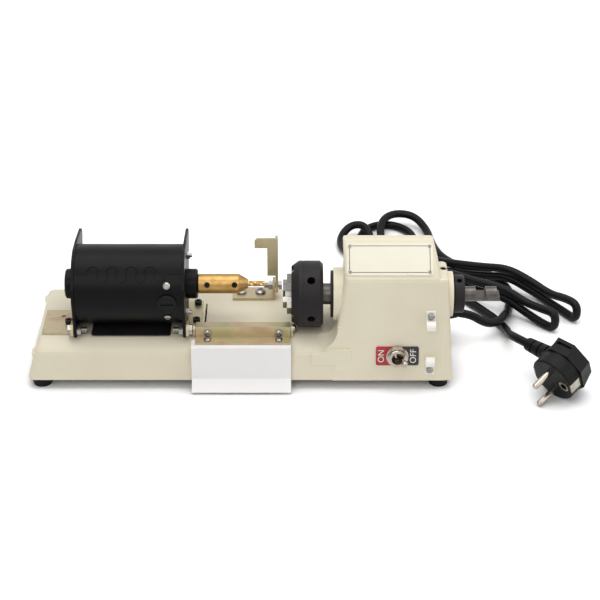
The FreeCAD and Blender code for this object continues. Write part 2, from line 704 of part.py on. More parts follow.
def build_spindle():
    """Index sleeve with its detent, sliding spindle, depth collar."""
    x0 = S.flange_x
    end = S.boss_face - 1
    inner = S.spindle_r + S.run_gap
    detent_x = S.boss_face - 7.5
    ball_r = 2
    groove = ball_r + 0.1
    floor = S.sleeve_r - 1.1
    profile = [(x0, inner), (end, inner), (end, S.sleeve_r), (detent_x + groove, S.sleeve_r)]
    profile += [(detent_x + groove, floor), (detent_x - groove, floor), (detent_x - groove, S.sleeve_r)]
    profile += [(x0 + S.flange_t, S.sleeve_r), (x0 + S.flange_t, S.flange_r), (x0, S.flange_r)]
    body = turned("index_sleeve", profile, SPINDLE)
    for step in range(8):
        angle = math.radians(45 * step)
        reach = S.sleeve_r + 0.6
        at = (detent_x, reach * math.cos(angle), reach * math.sin(angle))
        primitive(body, "SubtractiveSphere", at, None, Radius=ball_r + 0.05)
    keep("index_sleeve", body)
    top = S.spindle_z + S.sleeve_r + 1
    ball = new_body("detent_ball", (detent_x, S.spindle_y, top))
    primitive(ball, "AdditiveSphere", (0, 0, 0), None, Radius=ball_r)
    seat = top + ball_r + 0.3
    long = S.boss_top_z - 0.6 - seat
    screw = [(0, 0), (long, 0), (long, 2.48), (0, 2.48)]
    body = turned("detent_screw", screw, (detent_x, S.spindle_y, seat), "+Z")
    hexagon = dict(Polygon=6, Circumradius=1.3, Height=4)
    primitive(body, "SubtractivePrism", (long - 2, 0, 0), turn_z("+X"), **hexagon)
    group("index_detent", [ball, body])
    front_x = S.chuck_split + 4
    step_x = S.boss_face + 0.5
    profile = [(front_x, 0), (S.tail_end, 0), (S.tail_end, S.tail_r), (step_x, S.tail_r)]
    profile += [(step_x, S.spindle_r), (S.chuck_rear + 0.1, S.spindle_r)]
    profile += [(S.chuck_rear + 0.1, 7), (front_x, 7)]
    body = turned("spindle", profile, SPINDLE)
    for x, length in ((S.tail_end - 18.1, 7.5), (S.tail_end - 2.3, 4)):
        corner = (x, -S.tail_r - 1, size(0))
        primitive(body, "SubtractiveBox", corner, Length=length, Width=S.tail_r * 2 + 2, Height=10)
    keep("spindle", body)
    collar_x = S.boss_face + 0.55
    profile = tube(collar_x, collar_x + S.collar_w, S.tail_r, S.collar_r)
    body = turned("depth_collar", profile, SPINDLE)
    round_edges(body, 0.8, lambda e: e.Curve.TypeId == "Part::GeomCircle" and e.Curve.Radius > 10, "Chamfer")
    aim = Rotation(Vector(1, 0, 0), 17)
    drill(body, (collar_x + S.collar_w / 2, 0, 0), aim, 2, 20)
    keep("depth_collar", body)
    axis = aim * AIMS["+Z"]
    spot = aim.multVec(Vector(0, 0, 1))
    reach = S.tail_r + 0.1
    at = (collar_x + S.collar_w / 2, S.spindle_y + reach * spot.y, S.spindle_z + reach * spot.z)
    screw = [(0, 0), (5, 0), (5, 1.98), (0, 1.98)]
    body = turned("collar_screw", screw, at, axis)
    primitive(body, "SubtractivePrism", (2, 0, 0), turn_z("+X"), Polygon=6, Circumradius=1.1, Height=4)
    keep("collar_screw", body)


def build_chuck():
    """Three-jaw scroll chuck with its body, scroll ring and jaws."""
    x0, split, x1 = S.chuck_front, S.chuck_split, S.chuck_rear
    outer = S.chuck_r
    profile = [(x0, 5.2), (split + 4, 5.2), (split + 4, 7), (x1, 7), (x1, 14), (split, 14), (split, outer)]
    profile += [(x0 + 5.6, outer), (x0, outer - 4.1)]
    body = turned("chuck_body", profile, SPINDLE)
    half = S.jaw_w / 2
    for step in range(3):
        turn = Rotation(Vector(1, 0, 0), 120 * step)
        corner = turn.multVec(Vector(0, -half.value - 0.03, 0))
        at = (x0 - 1, size(corner.y), size(corner.z))
        box = dict(Length=split - x0 + 2, Width=S.jaw_w + 0.06, Height=outer - 3)
        primitive(body, "SubtractiveBox", at, turn, **box)
    keep("chuck_body", body)
    profile = [(split + 0.15, 14.05), (x1 - 0.05, 14.05), (x1 - 0.05, outer - 2.5), (x1 - 2.5, outer)]
    profile += [(split + 0.15, outer)]
    body = turned("chuck_ring", profile, SPINDLE)
    for step in range(5):
        turn = Rotation(Vector(1, 0, 0), 37.4 - 72 * step)
        drill(body, (split + 5.7, 0, 0), turn, S.tommy_r, outer + 5)
    keep("chuck_ring", body)
    for step in range(3):
        label = f"chuck_jaw_{step + 1}"
        turn = Rotation(Vector(1, 0, 0), 120 * step)
        body = new_body(label, SPINDLE, turn)
        sketch = new_sketch(body, "XZ_Plane", half)
        tip, low, high = S.jaw_tip, S.jaw_in, S.jaw_r
        outline = [(tip, low + 2), (tip, high - 5), (tip + 3, high - 5), (tip + 3, high), (x0 + 0.5, high)]
        outline += [(x0 + 0.5, high + 4.5), (split - 0.1, high + 4.5), (split - 0.1, low), (tip + 1.6, low)]
        draw_polygon(sketch, outline)
        pad(body, sketch, S.jaw_w, True)
        wedge_jaw(body, low)
        keep(label, body)


def wedge_jaw(body, low):
    """Brings a jaw's gripping end to a wedge, so that three meet round a key."""
    x = S.jaw_tip - 1
    for side in (-1, 1):
        sketch = new_sketch(body, "YZ_Plane", x)
        reach = S.jaw_w
        wedge = [(side * 1.6, low - 1), (reach * side, low - 1), (reach * side, low + reach * 0.5)]
        draw_polygon(sketch, wedge)
        pocket = body.newObject("PartDesign::Pocket", f"{body.Label}_wedge")
        pocket.Profile = sketch
        pocket.Reversed = True
        bind(pocket, "Length", 30)


def motor_plate(label, x, hole_r):
    """An end plate with a pivot lobe below and a pointed lobe at the back."""
    y, z = S.motor_y, S.motor_z
    outline = []
    big = S.motor_r + 1.5
    for degrees in (100, 120, 140, 160, 180, 200):
        c, s = math.cos(math.radians(degrees)), math.sin(math.radians(degrees))
        outline.append((y + big * c, z + big * s))
    low_y, low_z = S.pivot_y, S.pivot_z
    outline += [(low_y - 5, low_z + 3), (low_y - 4.6, low_z - 4)]
    outline += [(low_y - 1, low_z - 6), (low_y + 5, low_z - 5)]
    for degrees in (258, 275, 295, 315, 335, 355):
        c, s = math.cos(math.radians(degrees)), math.sin(math.radians(degrees))
        outline.append((y + big * c, z + big * s))
    outline += [(y + 40, z + 15), (y + 43, z + 22), (y + 40, z + 26), (y + 14, z + 30)]
    holes = [(low_y, low_z, 2.04), (y, z, hole_r)]
    tie_y, tie_z = tie_place()
    for sign in (-1, 1):
        holes.append((y + tie_y * sign, z + tie_z * sign, 1.6))
    return keep(label, prism(label, "YZ_Plane", x, S.plate_t, outline, holes))


def tie_place():
    """How far the motor's tie bolts are from its axis, in Y and Z."""
    return S.motor_r * 0.45, S.motor_r * 17 / 30


def build_motor():
    """Shell, end plates, bearings, brushes and magnets."""
    left, right = S.motor_left, S.motor_right
    shell = turned("motor_shell", tube(left, right, S.motor_r - 2, S.motor_r), MOTOR)
    seam_cut(shell)
    brush_x = right - 11
    for aim in ("+Y", "-Y"):
        drill(shell, (brush_x, 0, 0), aim, 4.55, 40)
    keep("motor_shell", shell)
    motor_plate("motor_end_plate_left", left - S.plate_t, 4.6)
    motor_plate("motor_end_plate_right", right, 4.6)
    x = left - S.plate_t
    profile = [(x - 7.1, 0), (x - 7.1, S.cap_r - 1), (x - 6.1, S.cap_r), (x, S.cap_r)]
    profile += [(x, 8), (x - 5, 8), (x - 5, 0)]
    housings = [turned("motor_bearing_housing", profile, MOTOR)]
    x = right + S.plate_t
    nose = S.holder_left - 0.2
    profile = [(x, 8), (x + 5, 8), (x + 5, 5), (nose, 5)]
    profile += [(nose, S.cap_r - 1), (nose - 1, S.cap_r), (x, S.cap_r)]
    housings.append(turned("motor_bearing_housing", profile, MOTOR))
    group("motor_bearing_housings", housings)
    rings = []
    for start in (left - S.plate_t - 4.95, right + S.plate_t + 0.05):
        ring = tube(start, start + 4.8, S.shaft_r + S.run_gap, 7.98)
        rings.append(turned("motor_bearing", ring, MOTOR))
    group("motor_bearings", rings)
    magnets = []
    tie_y, tie_z = tie_place()
    for sign in (-1, 1):
        ring = tube(left + 20, right - 24, S.motor_r - 10, S.motor_r - 2.02)
        body = turned("field_magnet", ring, MOTOR)
        turn = Rotation(Vector(1, 0, 0), 90 * sign)
        corner = turn.multVec(Vector(0, -40, -(tie_y + 2.5).value))
        at = (left, size(corner.y), size(corner.z))
        primitive(body, "SubtractiveBox", at, turn, Length=100, Width=80, Height=60)
        magnets.append(body)
    group("field_magnets", magnets)
    ties = []
    face = right + S.plate_t + 0.02
    reach = face - left + S.plate_t + 4
    for sign in (-1, 1):
        y, z = S.motor_y + tie_y * sign, S.motor_z + tie_z * sign
        ties.append(pan_screw("motor_tie_bolt", (left - S.plate_t - 0.02, y, z), "-X", 1.55, reach, 2.9, 2))
        ties.append(hex_nut("motor_tie_nut", (face, y, z), "+X", 1.57, 3.2, 2.4))
    group("motor_tie_screws", ties)
    caps, screws, brushes = [], [], []
    for aim in ("+Y", "-Y"):
        at = (brush_x, S.motor_y, S.motor_z)
        reach = S.motor_r
        profile = [(14, 3.1), (reach + 0.8, 3.1), (reach + 0.8, 0), (reach + 2.2, 0), (reach + 2.2, 6.4)]
        profile += [(reach + 1.4, 7.2), (reach + 0.3, 7.2), (reach + 0.3, 4.5), (14, 4.5)]
        cap = turned("brush_cap", profile, at, aim)
        slot = (reach + 1.4, size(-5), size(-0.6))
        primitive(cap, "SubtractiveBox", slot, Length=2, Width=10, Height=1.2)
        caps.append(cap)
        brush = turned("carbon_brush", [(9.1, 0), (reach - 4, 0), (reach - 4, 3), (9.1, 3)], at, aim)
        brushes.append(brush)
        for lift in (-26, 26):
            turn = AIMS[aim] * Rotation(Vector(0, 1, 0), lift)
            spot = turn.multVec(Vector(1, 0, 0))
            far = S.motor_r + 0.1
            at2 = (brush_x, S.motor_y + far * spot.y, S.motor_z + far * spot.z)
            screws.append(pan_screw("brush_screw", at2, turn, 1.2, 1.9, 2.6, 1.5))
    group("brush_caps", caps)
    group("carbon_brushes", brushes)
    for aim in ("+Y", "-Y"):
        for lift in (-26, 26):
            turn = AIMS[aim] * Rotation(Vector(0, 1, 0), lift) * turn_z("+X")
            drill(shell, (brush_x, 0, 0), turn, 1.25, 40)
    group("brush_screws", screws)


SEAM_TURN = 48
SEAM_LIFT = 1


def seam_cut(shell):
    """The shell's rolled seam: straight ends and four round lobes each way, locked like a jigsaw."""
    left, right = S.motor_left, S.motor_right
    half, depth, lobe = 0.35, 0.8, S.seam_lobe
    pitch = (right - left) * 0.088
    meet = math.acos((pitch / lobe).value / 2)
    aside = math.degrees((lobe / S.motor_r).value * math.sin(meet))
    middle = left + (right - left) * 0.49
    for step in range(8):
        up = step % 2 == 0
        turn = Rotation(Vector(1, 0, 0), SEAM_TURN - aside if up else SEAM_TURN + aside)
        x = middle + pitch * (step - 3.5)
        begin = -meet if up else math.pi - meet
        sketch = lobe_sketch(shell, x, turn, begin, math.pi + 2 * meet, lobe, half)
        pocket = shell.newObject("PartDesign::Pocket", "motor_shell_lobe")
        pocket.Profile = sketch
        bind(pocket, "Length", SEAM_LIFT + depth)
    turn = Rotation(Vector(1, 0, 0), SEAM_TURN)
    spot = turn.multVec(Vector(0, -half, S.motor_r.value - half))
    long = middle - pitch * 4 - left
    for x in (left - 1, right + 1 - long):
        box = dict(Length=long, Width=half * 2, Height=2)
        primitive(shell, "SubtractiveBox", (x, size(spot.y), size(spot.z)), turn, **box)


def lobe_sketch(body, x, turn, begin, sweep, lobe, half):
    """A lobe of the seam as part of a ring, in a plane that floats over the shell."""
    sketch = new_sketch(body, "XY_Plane")
    over = turn.multVec(Vector(0, 0, 1))
    reach = S.motor_r + SEAM_LIFT
    at = (x, reach * over.y, reach * over.z)
    sketch.AttachmentOffset = Placement(Vector(*(v.value for v in at)), turn)
    for axis, number in zip("xyz", at):
        bind(sketch, f"AttachmentOffset.Base.{axis}", number)
    gap = 0.04
    angles = (begin + gap, begin + sweep - gap)
    rings = (lobe + half, lobe - half)
    for radius in rings:
        circle = Part.Circle(Vector(), Vector(0, 0, 1), radius.value)
        sketch.addGeometry(Part.ArcOfCircle(circle, *angles), False)
    for angle in angles:
        way = Vector(math.cos(angle), math.sin(angle), 0)
        sketch.addGeometry(Part.LineSegment(way * rings[0].value, way * rings[1].value), False)
    for pair in ((0, 1, 2, 1), (1, 1, 2, 2), (0, 2, 3, 1), (1, 2, 3, 2), (0, 3, -1, 1), (1, 3, -1, 1)):
        sketch.addConstraint(Sketcher.Constraint("Coincident", *pair))
    for geo, radius in enumerate(rings):
        index = sketch.addConstraint(Sketcher.Constraint("Radius", geo, radius.value))
        sketch.setExpression(f"Constraints[{index}]", radius.text)
    for geo, angle in enumerate(angles, 2):
        for point, radius in enumerate(rings, 1):
            tie(sketch, "DistanceX", geo, point, radius * math.cos(angle))
    return sketch


def build_rotor():
    """Shaft, armature, commutator, cutter holder and end mill."""
    left, right = S.motor_left, S.motor_right
    shaft_x0 = left - S.plate_t - 4.9
    shaft_x1 = S.holder_left + 16
    profile = [(shaft_x0, 0), (shaft_x1, 0), (shaft_x1, S.shaft_r), (shaft_x0, S.shaft_r)]
    keep("motor_shaft", turned("motor_shaft", profile, MOTOR))
    a0, a1 = left + 22, right - 27
    inner = S.shaft_r
    core, coil, end = S.motor_r - 11, S.motor_r - 14, S.motor_r - 17
    profile = [(a0 - 8, inner), (a1 + 8, inner), (a1 + 8, end), (a1, coil)]
    profile += [(a1, core), (a0, core), (a0, coil), (a0 - 8, end)]
    keep("armature", turned("armature", profile, MOTOR))
    profile = tube(right - 17.5, right - 4.5, inner, 9)
    keep("commutator", turned("commutator", profile, MOTOR))
    x0, cone, x1 = S.holder_left, S.holder_cone, S.holder_right
    stop = x0 + 17
    mill_stop = stop + 3
    profile = [(x0, S.shaft_r), (stop, S.shaft_r), (stop, 1.5)]
    profile += [(mill_stop, 1.5), (mill_stop, S.mill_r), (x1, S.mill_r)]
    profile += [(x1, 3.4), (cone, S.holder_r), (x0 + 0.6, S.holder_r), (x0, S.holder_r - 0.6)]
    body = turned("cutter_holder", profile, MOTOR)
    screws = []
    aim = Rotation(Vector(1, 0, 0), 70)
    axis = aim * AIMS["+Z"]
    spot = aim.multVec(Vector(0, 0, 1))
    for x, reach in ((x0 + 7, S.shaft_r + 0.05), (cone - 2.9, S.mill_r + 0.05)):
        drill(body, (x, 0, 0), aim, 2.2, 12)
        at = (x, S.motor_y + reach * spot.y, S.motor_z + reach * spot.z)
        screw = turned("holder_screw", [(0, 0), (2.4, 0), (2.4, 2.18), (0, 2.18)], at, axis)
        primitive(screw, "SubtractivePrism", (1, 0, 0), turn_z("+X"), Polygon=6, Circumradius=1.1, Height=4)
        screws.append(screw)
    keep("cutter_holder", body)
    group("holder_screws", screws)
    build_mill(mill_stop + 0.2)


def build_mill(x0):
    """A four-flute end mill: plain shank, fluted end with a helix."""
    body = turned("end_mill", tube(x0, S.holder_right + 1.2, 0, S.mill_r), MOTOR)
    radius = S.mill_r
    start = S.holder_right + 1.1
    length = S.mill_tip - start
    steps = 8
    sketches = []
    for step in range(steps + 1):
        sketch = new_sketch(body, "YZ_Plane", start + length * (step / steps))
        points = []
        twist = 150 * step / steps
        for corner in range(12):
            angle = math.radians(twist + corner * 30)
            reach = radius * (1.0, 0.62, 0.93)[corner % 3]
            points.append((reach * math.cos(angle), reach * math.sin(angle)))
        draw_polygon(sketch, points)
        sketches.append(sketch)
    feature = body.newObject("PartDesign::AdditiveLoft", "end_mill_flutes")
    feature.Profile = sketches[0]
    feature.Sections = sketches[1:]
    feature.Ruled = True
    keep("end_mill", body)


def build_brackets():
    """The zinc brackets the motor swings on, with their bolts."""
    t = S.plate_t
    bed = SEAT_Z
    ear_x = S.motor_left - t - 0.3 - t
    ear = [(S.pivot_y - 5, S.bed_z + 2.6), (S.pivot_y - 5, S.pivot_z + 3), (S.pivot_y - 2, S.pivot_z + 5.6)]
    ear += [(S.pivot_y + 4, S.pivot_z + 5.6), (S.pivot_y + 18, bed + 1)]
    ear += [(S.pivot_y + 18, bed), (S.pivot_y + 3, bed)]
    body = prism("motor_bracket_left", "YZ_Plane", ear_x, t, ear, [(S.pivot_y, S.pivot_z, 2.04)])
    box = dict(Length=size(24.5), Width=size(32.5), Height=t)
    primitive(body, "AdditiveBox", (ear_x + t - 24.5, size(-26.5), bed), None, **box)
    hole_x, hole_y = BRACKET_SCREWS[0]
    drill(body, (hole_x, hole_y, S.bed_z - 1), "+Z", 1.7, 6)
    drill(body, (hole_x - 5, hole_y + 10, S.bed_z - 1), "+Z", 1.7, 6)
    keep("motor_bracket_left", body)
    ear_x = S.motor_right + t + 0.3
    body = prism("motor_bracket_right", "YZ_Plane", ear_x, t, ear, [(S.pivot_y, S.pivot_z, 2.04)])
    box = dict(Length=size(10.6), Width=size(35), Height=t)
    primitive(body, "AdditiveBox", (ear_x, size(-15), bed), None, **box)
    for hole_x, hole_y in BRACKET_SCREWS[1:]:
        drill(body, (hole_x, hole_y, S.bed_z - 1), "+Z", 1.7, 6)
    keep("motor_bracket_right", body)
    screws = []
    for x, y in BRACKET_SCREWS:
        screws.append(socket_screw("bracket_screw", (x, y, bed + t + 0.02), "+Z", 1.55, 10, 2.75, 3))
    group("motor_bracket_screws", screws)
    bolts, nuts = [], []
    x = S.motor_left - t - 0.3 - t - 0.02
    bolts.append(hex_bolt("pivot_bolt", (x, S.pivot_y, S.pivot_z), "-X", 2, 12, 4, 2.5))
    nuts.append(hex_nut("pivot_nut", (S.motor_left + 0.3, S.pivot_y, S.pivot_z), "+X", 2, 4, 3))
    x = S.motor_right + t + 0.3 + t + 0.02
    bolts.append(hex_bolt("pivot_bolt", (x, S.pivot_y, S.pivot_z), "+X", 2, 12, 4, 2.5))
    nuts.append(hex_nut("pivot_nut", (S.motor_right - 0.3, S.pivot_y, S.pivot_z), "-X", 2, 4, 3))
    group("motor_pivot_bolts", bolts)
    group("motor_pivot_nuts", nuts)
    x, y = BUFFER
    top = S.motor_z - S.motor_r + 8.5
    post = [(bed, 0), (bed, 6), (top, 5), (top, 0)]
    buffer = turned("motor_rest_buffer", post, (x, y, 0), "+Z")
    drill(buffer, (S.motor_z, S.motor_y - y, -20), "+Z", S.motor_r + 0.3, 40)
    keep("motor_rest_buffer", buffer)


def build_gauge():
    """Hinged key stop on its bracket."""
    t = S.plate_t
    bed = SEAT_Z
    x1 = S.gauge_x - 0.3
    y0, y1 = S.gauge_y - 5, S.gauge_y + 12.5
    ear = [(y0, bed), (y1, bed), (y1, bed + 4), (S.gauge_y + 4, S.gauge_z + 5)]
    ear += [(S.gauge_y - 4, S.gauge_z + 5), (y0, S.gauge_z + 2)]
    body = prism("gauge_bracket", "YZ_Plane", x1 - t, t, ear, [(S.gauge_y, S.gauge_z, 2.04)])
    left = size(-24.4)
    box = dict(Length=x1 - left, Width=y1 - y0, Height=t)
    primitive(body, "AdditiveBox", (left, y0, bed), None, **box)
    for x, y in GAUGE_SCREWS:
        drill(body, (x, y, S.bed_z - 1), "+Z", 1.7, 6)
    keep("gauge_bracket", body)
    screws = []
    for x, y in GAUGE_SCREWS:
        screws.append(pan_screw("gauge_screw", (x, y, bed + t + 0.02), "+Z", 1.55, 10, 4.1, 2.6))
    for x, y in LUG_SCREWS:
        screws.append(pan_screw("lug_screw", (x, y, SEAT_Z + 1.52), "+Z", 1.19, 6, 2, 1.4))
    group("bracket_pan_screws", screws)
    x = S.gauge_x + t + 0.3
    keep("gauge_pivot_bolt", hex_bolt("gauge_pivot_bolt", (x, S.gauge_y, S.gauge_z), "+X", 2, 11, 4, 2.6))
    nut_x = S.gauge_x - 0.3 - t - 0.02
    keep("gauge_pivot_nut", hex_nut("gauge_pivot_nut", (nut_x, S.gauge_y, S.gauge_z), "-X", 2, 4, 3.2))
    low, high = S.gauge_z - 5, S.gauge_top
    leg = [(y0, low + 2), (y0 + 2, low), (S.gauge_y + 3, low)]
    leg += [(S.gauge_y + 5, low + 2), (S.gauge_y + 5, high - 14)]
    leg += [(S.gauge_y + 1, high), (y0, high)]
    body = prism("gauge_lever", "YZ_Plane", S.gauge_x, t, leg, [(S.gauge_y, S.gauge_z, 2.04)])
    sketch = new_sketch(body, "XZ_Plane", -y0)
    x0, x1, arm = S.gauge_flag, S.gauge_x + t, S.gauge_x - 6.2
    flag = [(x0, high - 8), (x0, high - 2), (x0 + 2, high), (x1, high)]
    flag += [(x1, high - 32), (arm, high - 32), (arm, high - 8)]
    draw_polygon(sketch, flag)
    pad(body, sketch, t, True)
    keep("gauge_lever", body)


def build_guard():
    """Hinged guard: lugs, bar, angle and bent clear shield."""
    y, z, half = S.guard_y, S.guard_z, S.guard_bar / 2
    x0, x1 = S.guard_left, S.guard_right
    thick = 1.5
    floor = SEAT_Z
    back = y + LUG_FOOT
    lugs = []
    for x, foot_x in ((x0 - thick - 0.4, x0 - thick - 0.4), (x1 + 0.4, x1 - 10)):
        outline = [(y - 3.8, S.bed_z - 1.5), (y - 3.8, z + 1), (y - 2, z + 2.9), (y + 1.5, z + 2.9)]
        outline += [(back, floor + 2), (back, floor), (y + 0.5, floor)]
        lug = prism("guard_lug", "YZ_Plane", x, thick, outline, [(y, z, 1.54)])
        foot = dict(Length=11, Width=6, Height=thick)
        primitive(lug, "AdditiveBox", (foot_x, back - 6, floor), None, **foot)
        lugs.append(lug)
    for lug, (hole_x, hole_y) in zip(lugs, LUG_SCREWS):
        drill(lug, (hole_x, hole_y, S.bed_z - 1), "+Z", 1.3, 6)
    group("guard_lugs", lugs)
    body = prism("guard_bar", "YZ_Plane", x0, x1 - x0, rectangle(y - half, y + half, z - half, z + half))
    for x, aim in ((x0 - 1, "+X"), (x1 + 1, "-X")):
        drill(body, (x, y, z), aim, 1.5, 9)
    keep("guard_bar", body)
    pin = [(0, 0), (8, 0), (8, 1.49), (0, 1.49)]
    pivots = [turned("guard_pivot", pin, (x0 - thick - 0.4, y, z))]
    head = [(-8, 0), (2.4, 0), (2.4, 1.4), (1.2, 3), (0, 3), (0, 1.49), (-8, 1.49)]
    pivots.append(turned("guard_pivot", head, (x1 + 0.45 + thick, y, z)))
    group("guard_pivots", pivots)
    leg_y = y - half - 0.02
    low, high = z - half - 1.3, z + half + 0.3
    deep = 11.5
    outline = [(leg_y, high), (leg_y - 1.5, high), (leg_y - 1.5, low)]
    outline += [(leg_y - deep, low), (leg_y - deep, low - 1.5)]
    outline += [(leg_y, low - 1.5)]
    body = prism("guard_angle", "YZ_Plane", x0, x1 - x0, outline)
    screw_x = (x0 + 9, x1 - 8.6)
    for x in screw_x:
        drill(body, (x, leg_y + 1, z - 1.6), "-Y", 1.6, 4)
        drill(body, (x, leg_y - 7, low - 3), "+Z", 1.6, 6)
    keep("guard_angle", body)
    for x in screw_x:
        drill(NODES["guard_bar"], (x, y - half - 1, z - 1.6), "+Y", 1.2, 5)
    screws = []
    for x in screw_x:
        screws.append(pan_screw("guard_screw", (x, leg_y - 1.52, z - 1.6), "-Y", 1.19, 5, 2.7, 1.8))
    for x in screw_x:
        screws.append(pan_screw("shield_screw", (x, leg_y - 7, low + 0.02), "+Z", 1.55, 3.2, 2.7, 1.8))
    group("guard_screws", screws)
    t = S.shield_t
    top = low - 1.52
    knee_y = leg_y - 13
    base_z = S.foot_height + 2
    outer_y = knee_y - 2.6
    inside = [(leg_y - 4.2, top), (knee_y - 0.6, top), (knee_y - 1.6, top - 1)]
    inside += [(outer_y, base_z + 0.6), (outer_y - 6.6, size(2.3))]
    outside = [(outer_y - 5.2, size(1.2)), (outer_y + t, base_z - 0.4), (knee_y - 0.2, top - 2.4)]
    outside += [(knee_y - 0.6, top - t), (leg_y - 4.2, top - t)]
    body = prism("guard_shield", "YZ_Plane", x0 - 3, x1 - x0 + 3.5, inside + outside)
    for x in screw_x:
        drill(body, (x, leg_y - 7, top + 2), "-Z", 1.6, 6)
    keep("guard_shield", body)


def route_points():
    """The cord's route over the bench, from the machine's end to the plug."""
    x, y, z = S.base_right.value, S.cord_exit_y.value, S.cord_exit_z.value
    low = S.cord_r.value
    leaving = [(x - 2, y, z), (x + 16, y, z), (x + 31, y - 1, z - 10)]
    leaving += [(185, 38, 11.3), (191, 49.5, 11.4), (195, 63.5, 5)]
    outer_run = [(198, 79.5, low), (201, 97.5, low), (196, 117.5, low), (181, 134.5, low), (161, 143.5, low)]
    outer_run += [(147, 161.5, low), (141, 185.5, low)]
    first_bight = [(139, 207.5, 4.4), (128, 224.5, 10.4), (109, 226.5, 11.2)]
    first_bight += [(98, 210.5, 10.4), (98, 190.5, low)]
    first_run = [(100, 170.5, low), (112, 152.5, low), (134, 141.5, low)]
    first_run += [(159, 131.5, low), (181, 121.5, 6.5)]
    first_run += [(199, 110, 12.4), (217, 97.5, 6.5), (231, 82.5, low), (241, 67.5, low), (249, 54.5, low)]
    first_back = [(249, 54.5, 17.5), (241, 67.7, 16), (231, 82.7, 10.9), (217, 97.7, 14.7)]
    first_back += [(199, 110.2, 19.7), (181, 121.7, 14.7), (161, 132, 11.7), (144, 145.5, 7.2)]
    second_bight = [(132, 163.5, low), (127.5, 185.5, low), (124, 206.5, low)]
    second_bight += [(110, 219.5, low), (93, 218.5, low)]
    second_bight += [(82, 205.5, low), (79, 185.5, low), (81, 165.5, low), (90, 147.5, low)]
    second_run = [(106, 132.5, low), (126, 119.5, 4.6), (148, 106, 11.2), (171, 89.5, 10.8), (193, 73, 14.1)]
    second_run += [(208, 61.5, 7.3), (220, 50.5, low), (230, 40.5, low)]
    second_back = [(230, 40.5, 17.5), (220, 50.7, 16), (208, 61.7, 15.7)]
    second_back += [(193, 73.2, 21.5), (171, 89.7, 18.8)]
    second_back += [(148, 106.2, 18.5), (126, 119.7, 12.6), (106, 132.7, 10.8), (88, 145.5, 10.7)]
    third_bight = [(72, 159.5, 8.4), (63, 176.5, low), (63, 193.5, 5.4), (72, 205.5, 10.4), (84, 203.5, 11.7)]
    third_bight += [(89.5, 189.5, 5.5), (89.5, 172.5, low), (97, 153.5, low), (113, 140.5, low)]
    to_plug = [(135, 126.5, low), (150, 108.5, low), (161.5, 90, low), (174, 72, low), (186, 53.5, low)]
    to_plug += [(192, 35.5, 4.5), (190.5, 18.5, 12), (190.5, 2.8, 20.4)]
    to_plug += [(197.07, -10.99, 23.85), (210.63, -25.69, 23.85)]
    route = leaving + outer_run + first_bight + first_run + first_back + second_bight
    route += second_run + second_back + third_bight + to_plug
    return [Vector(*p) for p in route]


def cord_path(points):
    """Straight runs joined by tangent arcs; returns the wire and the bend radii."""
    edges, radii = [], []
    here = points[0]
    for before, corner, after in zip(points, points[1:], points[2:]):
        run_in, run_out = corner - before, after - corner
        turn = run_in.getAngle(run_out)
        if turn < 1e-4:
            continue
        reach = 0.45 * min(run_in.Length, run_out.Length)
        radius = reach / math.tan(turn / 2)
        first = corner - run_in.normalize() * reach
        way_out = Vector(run_out).normalize()
        last = corner + way_out * reach
        chord = (last - first) / 2
        towards = (corner - (first + chord)).normalize()
        sag = radius * (1 - math.cos(turn / 2))
        middle = first + chord + towards * sag
        edges.append(Part.LineSegment(here, first).toShape())
        edges.append(Part.Arc(first, middle, last).toShape())
        radii.append(radius)
        here = last
    edges.append(Part.LineSegment(here, points[-1]).toShape())
    return Part.Wire(edges), radii


def build_cord():
    """Strain relief, mains cord and plug."""
    x, y, z = S.base_right, S.cord_exit_y, S.cord_exit_z
    bore = S.cord_r + 0.02
    profile = [(x - 12, bore), (x + 8, bore), (x + 8, 4.4), (x + 2.5, 5.4), (x + 2.5, 6.6), (x, 6.6)]
    profile += [(x, 4.85), (x - 12, 4.85)]
    keep("strain_relief", turned("strain_relief", profile, (0, y, z)))
    points = route_points()
    path, radii = cord_path(points)
    way = points[1] - points[0]
    ring = Part.Wire(Part.Circle(points[0], way, S.cord_r.value).toShape())
    cord = doc.addObject("Part::Feature", "power_cord")
    cord.Shape = path.makePipeShell([ring], True, False)
    keep("power_cord", cord)
    print("cord length", round(path.Length, 1), "least radius", round(min(radii), 1))
    print("bend radii", [round(r, 1) for r in radii])
    print("cord self-gap", round(self_gap(path), 2))
    build_plug()


def self_gap(path):
    """Least gap between stretches of the cord that lie over 30 mm apart along it."""
    count = int(path.Length / 2)
    spots = path.discretize(count)
    apart = int(30 / (path.Length / count))
    least = 1e9
    for i, a in enumerate(spots):
        for b in spots[i + apart:]:
            least = min(least, a.distanceToPoint(b))
    return least - 2 * S.cord_r.value


